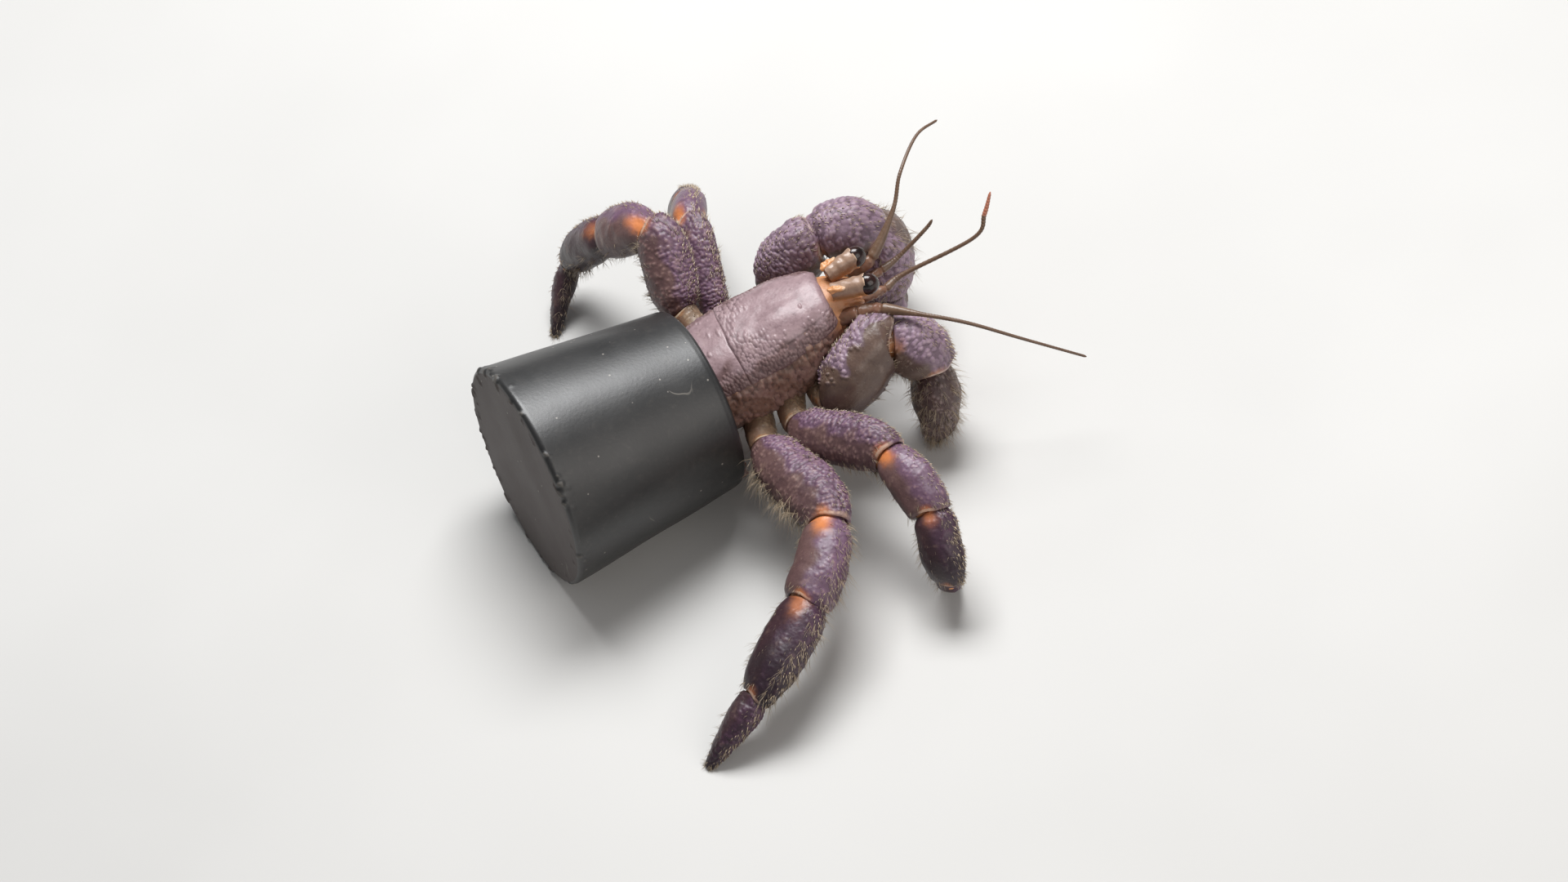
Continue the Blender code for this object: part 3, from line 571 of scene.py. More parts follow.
# The movable finger: place of its root along the hand, its offset there, and how short and how far aside it ends
fingerForm = dict(root=0.59, offset=3.2, short=0.9, aside=0.6)

# Rows that close a plate: place along, share of the ring's size, shift outwards along the line
neckRows = [(0, 0.55, 0.10), (0, 0.80, 0.02), (0, 0.93, 0.0)]
lipRows = [(1, 1.03, 0.0), (1, 1.01, 0.08), (1, 0.95, 0.11), (1, 0.88, 0.03), (1, 0.83, -0.25), (1, 0.78, -0.9)]


def plateSkin(kind, p0, p1, d0, d1, faces, size, rows, cols, start, end, seed, tip=False, twist=0.0,
              band=(-0.15, 0.85)):
    # a bowed line between two joints, rings of the table's widths along it, a narrow neck, a lip that laps over the
    # next plate along the back and is notched at both faces, soft hollows, a crest along the back, and scales
    rng = np.random.default_rng(seed)
    widths, grain = plates[kind], grains[kind]
    rows, cols = int(rows * fine), int(cols * fine)
    body = np.linspace(0.006, 0.994, rows)
    lip = [(1, 0.96, 0.0), (1, 0.7, 0.0), (1, 0.35, 0.0)] if tip else lipRows
    t = np.concatenate([[r[0] for r in neckRows], body, [r[0] for r in lip]])
    share = np.concatenate([[r[1] for r in neckRows], np.ones(rows), [r[1] for r in lip]])
    push = np.concatenate([[r[2] for r in neckRows], np.zeros(rows), [r[2] for r in lip]])
    share = share + np.where((t < 1) & (share == 1), 0.03 * smooth(0.9, 1, t) * (not tip), 0)
    points, along = lineBetween(p0 + d0 * start, p1 - d1 * end, d0, d1, t)
    faces = np.asarray(faces, float)
    if faces.ndim == 2:
        faces = faces[0] * (1 - t[:, None]) + faces[1] * t[:, None]
    top, bottom, side = (ease(widths["at"], widths[k], t) * size * share for k in ("top", "bottom", "side"))
    turns = evenTurns(cols)
    backness, faceness = np.sin(turns - twist)[None], np.exp(-((np.sin(turns) - 0.35) / 0.48) ** 2)[None]
    grid = loft(points, along, faces, top, bottom, side, turns, keel=grain["keel"])
    lap = grain["lap"] * size * (smooth(-0.3, 0.9, backness) - 0.35 * faceness + 0.1)
    grid = grid + along[:, None] * (push[:, None] + lap * smooth(0.72, 1.0, t)[:, None])[..., None]
    normals = gridNormals(grid)
    rowPlace = np.concatenate(([0], np.cumsum(np.linalg.norm(np.diff(points, axis=0), axis=1))))
    girth = np.linalg.norm(np.roll(grid, -1, axis=1) - grid, axis=2).sum(axis=1).max()
    colPlace = np.arange(cols) / cols * girth
    free = smooth(0.0, 0.06, t) * (1 - smooth(0.955, 1.0, t) * (not tip)) * (share > 0.95)
    hollow = ripple(grid, 5.5 * size, seed) * 0.09 + ripple(grid, 2.2 * size, seed + 50) * 0.03
    crest = grain["crest"] * np.exp(-((turns - twist - math.pi / 2) / 0.22) ** 2)[None] * smooth(0.02, 0.25, t)[:, None]
    dent = -0.22 * faceness * smooth(0.5, 0.0, np.abs(t - 0.12) / 0.25)[:, None]
    patch = ripple(grid, 4.0 * size, seed + 90)
    scaled = (0.15, 0.75) if band[0] < 0 else band

    def cover(r, c):
        i = np.clip(np.searchsorted(rowPlace, r), 0, len(t) - 1)
        j = (c / girth * cols).astype(int) % cols
        b = smooth(*scaled, backness[0][j] + 0.22 * patch[i, j])
        return (grain["flank"] + (grain["back"] - grain["flank"]) * b) * (free[i] > 0.1)

    field = scaleBumps(rowPlace, colPlace, girth, grain["spacing"], cover, rng, stretch=1.25, lean=0.45)
    weight = 0.45 + 0.55 * smooth(0.0, 0.7, backness + 0.3 * patch)
    rise = (hollow + crest + dent + field * grain["height"] * weight) * free[:, None] * size
    grid = grid + normals * rise[..., None]
    if tip:
        grid[..., 2] = np.maximum(grid[..., 2], 0.0)
    shape = grid.shape[:2]
    far = t[:, None] * (not tip)
    nearRoot, atRoot = smooth(0.50, 0.0, t)[:, None], smooth(0.05, 0.0, t)[:, None]
    marks = dict(
        along=np.broadcast_to(t[:, None], shape),
        back=smooth(*band, backness + 0.18 * patch),
        under=smooth(-0.25, -0.95, backness + 0.1 * patch),
        bumps=field * free[:, None],
        grained=np.clip(smooth(*scaled, backness + 0.22 * patch) * grain["back"], grain["flank"], 1) * free[:, None],
        glow=np.clip(faceness * nearRoot * 0.95 * grain["warm"] + 0.6 * faceness * smooth(0.84, 1.0, far)
                     + 0.5 * atRoot * grain["warm"], 0, 1),
        rim=smooth(0.965, 0.985, far) * (0.25 + 0.6 * faceness + 0.25 * patch) * (share > 0.9)[:, None],
        shade=np.maximum(smooth(0.035, 0.0, t) * (kind != "base"), (share < 0.86) * 1.0)[:, None] + 0 * backness,
    )
    return dict(grid=grid, normals=normals, marks=marks, t=t, backness=backness, kind=kind, line=along, free=free)


def membrane(joint, direction, facing, before, after, size, seed, reach=1.5):
    # a bulging, wrinkled sleeve between two plates: its half sizes go from one plate's end to the next one's start
    rows, cols = int(26 * fine), int(72 * fine)
    t = np.linspace(0, 1, rows)
    points = joint + direction * ((t - 0.5) * 2 * reach * size)[:, None]
    along = np.repeat(direction[None], rows, axis=0)
    swell = 0.74 + 0.10 * np.sin(math.pi * t) + 0.03 * np.sin(t * 34)
    top, bottom, side = ((b * (1 - t) + a * t) * swell for b, a in zip(before, after))
    grid = loft(points, along, facing, top, bottom, side, evenTurns(cols))
    grid = grid + gridNormals(grid) * (ripple(grid, 1.3, seed) * 0.09)[..., None]
    marks = dict(along=0.3, back=0.5, bumps=0.0, grained=0.0, glow=(ripple(grid, 2.0, seed + 7) * 0.3 + 0.5), rim=0.0)
    return tubePart(grid, marks)


def plateEnds(kind, size):
    # the table's first and last half sizes of a plate, each times its size
    return [[plates[kind][k][end] * size for k in ("top", "bottom", "side")] for end in (0, -1)]


skins = {}
for number, (name, leg) in enumerate(legs.items()):
    joints = [np.asarray(j, float) for j in leg["joints"]]
    directions = jointDirections(joints)
    ups = carried(leg["faces"], directions)
    sizes = [leg["size"] * g for g in leg.get("grow", (1, 1, 1, 1, 1))]
    for i, kind in enumerate(legNodes):
        span = np.linalg.norm(joints[i + 1] - joints[i])
        foot = kind == "dactyl"
        skin = plateSkin(kind, joints[i], joints[i + 1], directions[i], directions[i + 1], ups[i:i + 2], sizes[i],
                         rows=30 + span * 5.2, cols=84 if foot else 128, start=legGap,
                         end=0.0 if foot else legGap, seed=100 * number + i, tip=foot)
        skins[f"{name}_{kind}"] = skin
        piece = joined(f"{name}_{kind}_shell", [tubePart(skin["grid"], skin["marks"])])
        wear(piece, shells[grains[kind]["look"]], "leg_shell", f"{name}_{kind}")
    ends = [plateEnds(kind, size) for kind, size in zip(legNodes, sizes)]
    sleeves = [membrane(joints[i], directions[i], ups[i], ends[i - 1][1], ends[i][0], sizes[i], 40 + i + number)
               for i in range(1, 5)]
    wear(joined(f"{name}_joints", sleeves), shells["joint"], "soft_hide")
print("walking legs ready")

for number, (name, arm) in enumerate(arms.items()):
    joints = [np.asarray(j, float) for j in arm["joints"]]
    directions = jointDirections(joints)
    ups = carried(arm["faces"], directions)
    hand, inner = arm["hand"], np.asarray(arm["inner"], float)
    kinds = ("armBase", "armMerus", "armCarpus")
    wrist, tip = joints[3], joints[4]
    down = unit(tip - wrist)
    side = unit(inner - (inner @ down) * down)
    middle = lineBetween(wrist, tip, directions[3], down, [fingerForm["root"]])[0][0]
    root = middle + side * fingerForm["offset"] * hand
    end = tip - down * fingerForm["short"] + side * fingerForm["aside"] * hand
    lean = unit(end - root)
    made = []
    for i, kind in enumerate(kinds):
        upper = kind == "armMerus"
        rows = 40 + 8 * np.linalg.norm(joints[i + 1] - joints[i])
        made.append(plateSkin(kind, joints[i], joints[i + 1], directions[i], directions[i + 1], ups[i:i + 2],
                              arm["size"] * (arm["swell"] if upper else 1.0), rows=rows, cols=150, start=armGap,
                              end=armGap, seed=500 + 10 * number + i,
                              **{k: arm[k] for k in ("twist", "band") if upper}))
    made.append(plateSkin("palm", wrist, tip, directions[3], down, inner, hand, rows=150, cols=160, start=armGap,
                          end=0.1, seed=540 + number, tip=True))
    made.append(plateSkin("finger", root, end, unit(down + 0.2 * side), unit(lean - 0.3 * side), inner, hand,
                          rows=90, cols=120, start=legGap, end=0.1, seed=550 + number, tip=True))
    for node, skin in zip(clawNodes, made):
        skins[f"{name}_{node}"] = skin
        piece = joined(f"{name}_{node}_shell", [tubePart(skin["grid"], skin["marks"])])
        wear(piece, shells["coxa" if node == "base" else "claw"], "claw_shell", f"{name}_{node}")
    ends = [plateEnds(k, arm["size"]) for k in kinds] + [plateEnds("palm", hand)]
    sleeves = [membrane(joints[i], directions[i], ups[i] if i < 3 else inner, ends[i - 1][1], ends[i][0], arm["size"],
                        60 + i + number, reach=1.9) for i in range(1, 4)]
    wear(joined(f"{name}_joints", sleeves), shells["flesh"], "soft_hide")
print("claws ready")

# The cap and its lie: the wider end is closed, and it rests on its lowest side line
cap = dict(closedRadius=16.0, openRadius=12.9, length=27.0, wall=1.3, edge=0.8, yaw=math.radians(15.6), depth=0.12)
capDip = math.asin((cap["closedRadius"] - cap["openRadius"]) / cap["length"])
capMiddle = np.array((0, 0, cap["closedRadius"] * math.cos(capDip) - cap["depth"]))
capTurn = np.array(Matrix.Rotation(cap["yaw"], 3, "Z") @ Matrix.Rotation(math.pi / 2 + capDip, 3, "Y"))


def capRadius(s):
    # the cap's outer radius s from its closed end: a straight taper
    return cap["closedRadius"] - (cap["closedRadius"] - cap["openRadius"]) * s / cap["length"]


def buildCap():
    # a turned cup: the outline runs from the closed end's middle over the outside and back along the inside
    length, wall, edge = cap["length"], cap["wall"], cap["edge"]
    quarter = np.linspace(0, math.pi / 2, 9)
    rim = wall / 2
    corner = capRadius(edge) - edge
    middle = capRadius(length) - rim
    inner = capRadius(wall) - wall
    line = [np.stack([np.linspace(0.2, corner - 0.3, 36), np.zeros(36)], -1)]
    line.append(np.stack([corner + edge * np.sin(quarter), edge - edge * np.cos(quarter)], -1))
    s = np.linspace(edge + 0.3, length - rim - 0.3, 90)
    line.append(np.stack([capRadius(s), s], -1))
    line.append(np.stack([middle + rim * np.cos(quarter), length - rim + rim * np.sin(quarter)], -1))
    line.append(np.stack([middle - rim * np.sin(quarter[1:]), length - rim + rim * np.cos(quarter[1:])], -1))
    s = np.linspace(length - rim - 0.4, wall + edge, 40)
    line.append(np.stack([capRadius(s) - wall, s], -1))
    line.append(np.stack([np.linspace(inner - 0.2, 0.2, 30), np.full(30, wall)], -1))
    outline = np.concatenate(line)
    count = int(384 * fine)
    turns = np.arange(count) / count * 2 * math.pi
    r, s = outline[:, 0], outline[:, 1]
    grid = np.stack([r[:, None] * np.cos(turns), r[:, None] * np.sin(turns), np.repeat(s[:, None], count, 1)], -1)
    nearEdge = np.exp(-((s - 0.4) / 0.9) ** 2) * (r > corner - 1.5)
    outside = (np.arange(len(r)) < sum(len(part) for part in line[:4])).astype(float)
    chips = ripple(grid, 3.4, 5) + 0.8 * ripple(grid, 1.3, 15) + 0.5 * ripple(grid, 12.0, 6)
    worn = smooth(0.75, 1.7, chips) * (nearEdge * outside)[:, None]
    normals = gridNormals(grid)
    uneven = ripple(grid, 11.0, 8) * 0.05 * outside[:, None]
    grid = grid - normals * (worn * 0.22)[..., None] + normals * uneven[..., None]
    world = grid @ capTurn.T + capMiddle
    world[..., 2] = np.maximum(world[..., 2], 0.0)
    marks = dict(edge=np.broadcast_to((nearEdge * outside)[:, None], worn.shape), worn=worn,
                 inside=np.broadcast_to(1 - outside[:, None], worn.shape),
                 flat=np.broadcast_to(((s < 0.05) * 1.0)[:, None], worn.shape))
    return tubePart(world, marks)


def buildCapMaterial():
    # near-black plastic with dust, pale specks, a worn rim, a duller end and a few short scratches
    material, shader, put, maths, mix, remap, noise, mark, here, bump, link = newMaterial(
        "capPlastic", "put maths mix remap noise mark here bump link", {"Specular IOR Level": 0.85})
    cloud = noise(here(), 90, 5, 0.6)
    dust = noise(here(), 900, 4, 0.65)
    speck = put("ShaderNodeTexVoronoi", feature="F1", inputs={"Vector": here(), "Scale": 420}).outputs[0]
    base = mix(remap(cloud, 0.35, 0.7), (0.0100, 0.0098, 0.0100), (0.018, 0.017, 0.0165))
    base = mix(maths("MULTIPLY", remap(dust, 0.5, 0.8), 0.4), base, (0.050, 0.044, 0.038))
    base = mix(maths("MULTIPLY", mark("flat"), 0.7), base, (0.070, 0.046, 0.040))
    base = mix(maths("MULTIPLY", remap(speck, 0.035, 0.075, 1.0, 0.0), 0.85), base, (0.30, 0.27, 0.24))
    base = mix(maths("MULTIPLY", remap(mark("worn"), 0.3, 0.9), 0.55), base, (0.12, 0.105, 0.09))
    sway = put("ShaderNodeTexNoise", inputs={"Vector": here(), "Scale": 130}).outputs[1]
    shift = put("ShaderNodeVectorMath", operation="SCALE", inputs={0: sway, "Scale": 0.012}).outputs[0]
    bent = put("ShaderNodeVectorMath", operation="ADD", inputs={0: here(), 1: shift}).outputs[0]
    lines = put("ShaderNodeTexVoronoi", feature="DISTANCE_TO_EDGE", inputs={"Vector": bent, "Scale": 95}).outputs[0]
    cut = maths("MULTIPLY", remap(lines, 0.003, 0.016, 1.0, 0.0), remap(noise(here(), 110, 2), 0.62, 0.70))
    base = mix(maths("MULTIPLY", cut, 0.75), base, (0.22, 0.20, 0.175))
    link(base, shader["Base Color"])
    rough = maths("ADD", remap(cloud, 0.3, 0.7, 0.37, 0.45), maths("MULTIPLY", mark("flat"), 0.25))
    link(maths("ADD", rough, maths("MULTIPLY", mark("worn"), 0.2)), shader["Roughness"])
    fineGrain = put("ShaderNodeTexNoise", inputs={"Vector": here(), "Scale": 2200, "Detail": 3}).outputs[0]
    link(bump(fineGrain, 0.25, 0.00006), shader["Normal"])
    return material


wear(joined("cap_cup", [buildCap()]), buildCapMaterial(), "cap_plastic", "cap")
print("cap ready")

# The trunk: half sizes along the line from inside the cap to the head
trunk = dict(back=(20.8, 6.4, 14.0), front=(47.0, 9.9, 18.7), at=(0, 0.2, 0.45, 0.7, 0.88, 0.96, 1),
             top=(6.0, 7.1, 7.7, 7.7, 7.2, 6.7, 5.7), bottom=(5.4, 6.6, 7.0, 7.2, 6.5, 5.6, 4.4),
             side=(5.7, 7.1, 7.8, 7.6, 6.5, 5.5, 4.2), square=2.5, shieldBack=32.6, edgeBack=(28.0, 18.2),
             edgeFront=(47.0, 21.4), deep=(1.7, 3.2, 7.0, 11.6, 15.0, 17.2),
             wide=(11.6, 13.8, 13.4, 12.6, 10.4, 7.6))  # deep, wide: depth in the cap and half width of the hind body
trunkBack, trunkFront = np.array(trunk["back"]), np.array(trunk["front"])
trunkRun = unit(trunkFront - trunkBack)
trunkLength = np.linalg.norm(trunkFront - trunkBack)


def trunkSizes(t):
    # half sizes above, below and beside the trunk's line
    return [ease(trunk["at"], trunk[k], t) for k in ("top", "bottom", "side")]


def buildTrunk():
    # one soft skin: a wide hind body that fills the cup, drawn in through its mouth to the trunk and the face
    axis = capTurn @ (0, 0, 1)
    back = np.array([capMiddle + axis * s for s in trunk["deep"]])
    rows = int(230 * fine)
    t = np.linspace(0, 1, rows)
    front = np.linspace(0.03, 1, 9)
    ahead = trunkFront + np.outer((1.5, 2.5, 3.0), trunkRun) + np.outer((-0.3, -0.9, -1.3), (0, 0, 1))
    knots = np.concatenate([back, trunkBack + np.outer(front, trunkFront - trunkBack), ahead])
    place = np.concatenate(([0], np.cumsum(np.linalg.norm(np.diff(knots, axis=0), axis=1))))
    place /= place[-1]
    centre = np.stack([ease(place, knots[:, k], t) for k in range(3)], -1)
    along = unit(np.gradient(centre, axis=0))
    sizes = [ease(place, np.concatenate([trunk["wide"], v, v[-1] * np.array((0.86, 0.60, 0.25))]), t)
             for v in trunkSizes(front)]
    cols = int(220 * fine)
    turns = evenTurns(cols, 2.4, 1.0)
    grid = loft(centre, along, (0, 0, 1), *sizes, turns, 2.4)
    normals = gridNormals(grid)
    frontness = smooth(0.42, 0.55, t)[:, None]
    upper = smooth(0.25, 0.6, np.sin(turns))[None]
    grid = grid - normals * (0.55 * upper * frontness)[..., None]
    patch = ripple(grid, 5.0, 31)
    flank = np.exp(-((np.abs(np.abs((turns + math.pi / 2) % (2 * math.pi) - math.pi) - 1.45)) / 0.55) ** 2)[None]
    rowPlace = np.concatenate(([0], np.cumsum(np.linalg.norm(np.diff(centre, axis=0), axis=1))))
    girth = 46.0

    def cover(r, c):
        i = np.clip(np.searchsorted(rowPlace, r), 0, rows - 1)
        return np.clip(flank[0][(c / girth * cols).astype(int) % cols] * 1.3, 0, 1) * frontness[i, 0]

    field = scaleBumps(rowPlace, np.arange(cols) / cols * girth, girth, 0.85, cover, np.random.default_rng(9))
    ends = smooth(0.0, 0.03, t)[:, None] * smooth(1.0, 0.985, t)[:, None]
    rise = (field * 0.34 * frontness + ripple(grid, 4.5, 33) * 0.12 + ripple(grid, 1.6, 34) * 0.05) * ends
    grid = grid + normals * rise[..., None]
    face = smooth(0.86, 0.95, t)[:, None]
    collar = np.exp(-((t - 0.60) / 0.03) ** 2)[:, None] * smooth(0.2, 0.9, patch)
    marks = dict(along=0.3, back=smooth(-0.2, 0.6, patch), bumps=field * frontness, grained=flank * frontness,
                 under=smooth(-0.2, -0.9, np.sin(turns))[None] + 0 * t[:, None],
                 glow=0.8 * face + 0.4 * collar + 0.12 * smooth(0.3, 0.9, patch), rim=0.0)
    return tubePart(grid, marks)


def buildShield(front, seed):
    # part of the trunk's upper surface between its side edges, with a rolled border and a soft furrow
    low = (trunk["shieldBack"] + (-0.25 if front else -6.0) - trunkBack[0]) / (trunkFront[0] - trunkBack[0])
    high = 1.0 if front else (trunk["shieldBack"] + 0.35 - trunkBack[0]) / (trunkFront[0] - trunkBack[0])
    rows, cols = int((150 if front else 70) * fine), int(190 * fine)
    u, v = np.linspace(0, 1, rows)[:, None], np.linspace(0, 1, cols)[None]
    t = low + (high - low) * u[:, 0]
    top, bottom, side = trunkSizes(t)
    centre = trunkBack + np.outer(t, trunkFront - trunkBack)
    (x0, z0), (x1, z1) = trunk["edgeBack"], trunk["edgeFront"]
    edgeHeight = z0 + (z1 - z0) * (centre[:, 0] - x0) / (x1 - x0) + gap / 2
    share = np.clip((edgeHeight - centre[:, 2] - (top - bottom) / 2) / ((top + bottom) / 2), 0.02, 0.995)
    first = np.arcsin(share ** (trunk["square"] / 2))[:, None]
    turns = first + (math.pi - 2 * first) * v
    up = unit(np.array((0, 0, 1)) - trunkRun[2] * trunkRun)
    across = np.cross(trunkRun, up)
    x = power(np.cos(turns), trunk["square"]) * side[:, None]
    y = power(np.sin(turns), trunk["square"]) * ((top + bottom) / 2)[:, None] + ((top - bottom) / 2)[:, None]
    outer = centre[:, None] + across * x[..., None] + up * y[..., None]
    normals = gridNormals(outer, closed=False)
    border = np.minimum(np.minimum(u, 1 - u) * (high - low) * trunkLength, np.minimum(v, 1 - v) * 13)
    roll = -0.42 * (1 - smooth(0, 0.7, border)) ** 2
    swell = ripple(outer, 6.5, seed) * 0.10 + ripple(outer, 2.4, seed + 5) * 0.035
    groove = np.exp(-((np.abs(v - 0.5) - 0.27 - 0.06 * np.sin(u * 3)) / 0.018) ** 2) * smooth(0.05, 0.3, u)
    patch = ripple(outer, 3.0, seed + 2)
    sideness = smooth(0.20, 0.42, np.abs(v - 0.5) + 0.35 * smooth(0.55, 0.0, u) * front + 0.05 * patch)
    rowPlace, girth = u[:, 0] * (high - low) * trunkLength, 17.0

    def cover(r, c):
        i = np.clip((r / rowPlace[-1] * rows).astype(int), 0, rows - 1)
        return np.clip(sideness[i, np.clip((c / girth * cols).astype(int), 0, cols - 1)] + 0.02, 0, 1)

    field = scaleBumps(rowPlace, v[0] * girth, girth, 0.5, cover, np.random.default_rng(seed))
    inside = smooth(0.1, 0.7, border)
    rise = roll + swell - 0.12 * groove * front + field * 0.13 * inside - (0.0 if front else 0.12)
    grid = outer + normals * rise[..., None]
    inner = outer - normals * 0.7
    marks = dict(along=0.2 + 0.0 * u, back=smooth(0.9, 0.25, np.abs(v - 0.5) * 2 + 0.15 * patch), bumps=field * inside,
                 grained=sideness * inside, glow=0.15 * (1 - smooth(0, 0.5, border)),
                 rim=0.35 * (1 - smooth(0.1, 0.5, border)), shade=0.5 * (1 - smooth(0.0, 0.25, border)))
    return slabPart(grid, inner, marks)


wear(joined("soft_trunk", [buildTrunk()]), shells["flesh"], "soft_hide", "thorax", "abdomen")
wear(joined("shield_plate", [buildShield(True, 71)]), shells["shield"], "body_shell", "shield")
wear(joined("rear_plate", [buildShield(False, 72)]), shells["shield"], "body_shell", "carapace_rear")
print("trunk ready")

eyes = {
    "right": dict(root=(46.9, 8.2, 24.4), tip=(51.6, 7.5, 24.8)),
    "left": dict(root=(46.9, 11.4, 24.4), tip=(51.1, 12.7, 24.8)),
}
# Half sizes of the stalk at its root, middle and end, of the cornea, and of the lobe at the root with its place
eyeForm = dict(height=(1.3, 1.45, 1.6), width=(1.1, 1.2, 1.3), cornea=(1.62, 1.38), reach=1.6,
               lobe=(0.5, 0.6, 0.62), lobeAt=(-0.7, 0, 1.1), lobeLength=2.6)


def buildCorneaMaterial():
    # dark red-brown under a clear coat, with a fine net of facets
    material, shader, put, mix, remap, noise, here, bump, link = newMaterial(
        "corneaFinish", "put mix remap noise here bump link",
        {"Roughness": 0.24, "Coat Weight": 0.25, "Coat Roughness": 0.06})
    cells = put("ShaderNodeTexVoronoi", feature="F1", inputs={"Vector": here(), "Scale": 9000}).outputs[0]
    base = mix(remap(noise(here(), 900), 0.35, 0.7), (0.006, 0.0022, 0.0018), (0.030, 0.008, 0.006))
    link(base, shader["Base Color"])
    link(bump(cells, 0.15, 0.00003), shader["Normal"])
    return material


corneaFinish = buildCorneaMaterial()
for label, eye in eyes.items():
    root, tip = np.asarray(eye["root"], float), np.asarray(eye["tip"], float)
    run = unit(tip - root)
    rows, cols = int(80 * fine), int(90 * fine)
    t = np.concatenate([np.linspace(0, 1, rows), [1, 1]])
    share = np.concatenate([np.ones(rows), [0.93, 0.7]])
    points = root + np.outer(t, tip - root)
    height = ease((0, 0.5, 1), eyeForm["height"], t) * share
    width = ease((0, 0.5, 1), eyeForm["width"], t) * share
    turns = evenTurns(cols)
    grid = loft(points, np.repeat(run[None], len(t), 0), (0, 0, 1), height, height, width, turns)
    grid = grid + gridNormals(grid) * (ripple(grid, 1.6, 12) * 0.05)[..., None]
    marks = dict(along=0.2, back=np.broadcast_to(smooth(-0.4, 0.5, np.sin(turns))[None], grid.shape[:2]), bumps=0.0,
                 grained=0.0, glow=0.8 * smooth(0.1, -0.7, np.sin(turns))[None] + 0 * t[:, None],
                 rim=0.6 * np.exp(-((t - 1) / 0.05) ** 2)[:, None] + 0 * turns[None])
    s = np.linspace(0, 1, int(40 * fine))
    lobe = np.sqrt(np.clip(1 - (2 * s - 1) ** 2, 0.003, 1)) * (1.05 - 0.55 * s)
    outwards = np.array((0, 1.0 if label == "left" else -1.0, 0))
    lobeRun = run * eyeForm["lobeLength"] + outwards * 0.35 + (0, 0, 0.1)
    middle = root + eyeForm["lobeAt"] + outwards * 0.35 + np.outer(s, lobeRun)
    lobeGrid = loft(middle, np.repeat(run[None], len(s), 0), (0, 0, 1), *(half * lobe for half in eyeForm["lobe"]),
                    turns, 2.6)
    lobeGrid = lobeGrid + gridNormals(lobeGrid) * (ripple(lobeGrid, 0.9, 19) * 0.10)[..., None]
    lobeMarks = dict(along=0.2, back=0.5, bumps=0.0, grained=0.0, glow=0.85,
                     rim=smooth(0.5, 1.0, s)[:, None] * 0.8 + 0 * turns)
    wear(joined(f"eyestalk_{label}_skin", [tubePart(grid, marks), tubePart(lobeGrid, lobeMarks)]), shells["stalk"],
         "eyestalk", f"eyestalk_{label}")
    dome = np.sin(np.linspace(-0.22, 0.497, int(40 * fine)) * math.pi)
    shrink = np.sqrt(1 - dome ** 2)
    points = tip + run * (gap * 0.5 + eyeForm["reach"] * dome[:, None])
    tall, broad = (half * shrink for half in eyeForm["cornea"])
    grid = loft(points, np.repeat(run[None], len(points), 0), (0, 0, 1), tall, tall, broad, evenTurns(cols, 2.0), 2.0)
    wear(joined(f"cornea_{label}_lens", [tubePart(grid, {})]), corneaFinish, "cornea", f"cornea_{label}")
print("eyes ready")

# Feelers, jaw feet and small hind feet: points of the line, and half thicknesses at them
feelers = {
    "antenna_right": dict(points=[(46.9, 6.5, 20.8), (49.6, 5.6, 21.8), (52.6, 4.8, 22.2), (57.6, 1.9, 22.0),
                                  (63.1, -0.5, 20.4), (69.4, -3.1, 17.2), (77.2, -5.3, 12.2)],
                          radii=(1.15, 1.1, 0.85, 0.48, 0.4, 0.34, 0.28)),
    "antenna_left": dict(points=[(46.9, 13.2, 20.6), (49.8, 13.7, 21.2), (53.4, 13.9, 22.4), (58.1, 17.9, 26.0),
                                 (60.4, 21.3, 28.8), (64.1, 26.7, 29.2), (67.6, 29.5, 28.0)],
                         radii=(1.15, 1.1, 0.8, 0.48, 0.4, 0.34, 0.28)),
    "antennule_right": dict(points=[(46.9, 8.9, 21.6), (50.6, 9.0, 20.6), (54.0, 10.2, 19.8), (57.0, 11.2, 20.4),
                                    (67.3, 10.6, 24.0), (69.6, 12.0, 26.4), (71.2, 13.6, 28.6)],
                            radii=(0.8, 0.75, 0.6, 0.5, 0.42, 0.5, 0.28), tipGlow=0.9),
    "antennule_left": dict(points=[(46.9, 10.9, 21.6), (50.8, 11.9, 20.6), (54.2, 13.2, 20.2), (57.2, 14.2, 20.8),
                                   (61.6, 15.2, 23.4), (62.8, 15.4, 24.6)], radii=(0.8, 0.75, 0.6, 0.48, 0.42, 0.3)),
}
smallLimbs = {
    "maxilliped_right": dict(points=[(45.2, 8.6, 16.0), (48.7, 8.6, 15.6), (50.4, 8.7, 12.2), (49.8, 8.9, 8.2)],
                             radii=(1.2, 1.2, 1.1, 0.6)),
    "maxilliped_left": dict(points=[(45.2, 11.4, 16.0), (48.7, 11.4, 15.6), (50.4, 11.3, 12.2), (49.8, 11.1, 8.2)],
                            radii=(1.2, 1.2, 1.1, 0.6)),
    "leg4_right": dict(points=[(28.0, 6.0, 9.6), (27.6, 2.0, 6.4), (28.0, -0.4, 4.8), (29.0, -1.2, 4.4)],
                       radii=(1.3, 1.3, 1.2, 0.7)),
    "leg4_left": dict(points=[(27.6, 11.0, 9.6), (26.8, 14.4, 7.2), (27.2, 16.0, 6.2), (28.6, 16.6, 5.8)],
                      radii=(1.3, 1.3, 1.2, 0.7)),
}


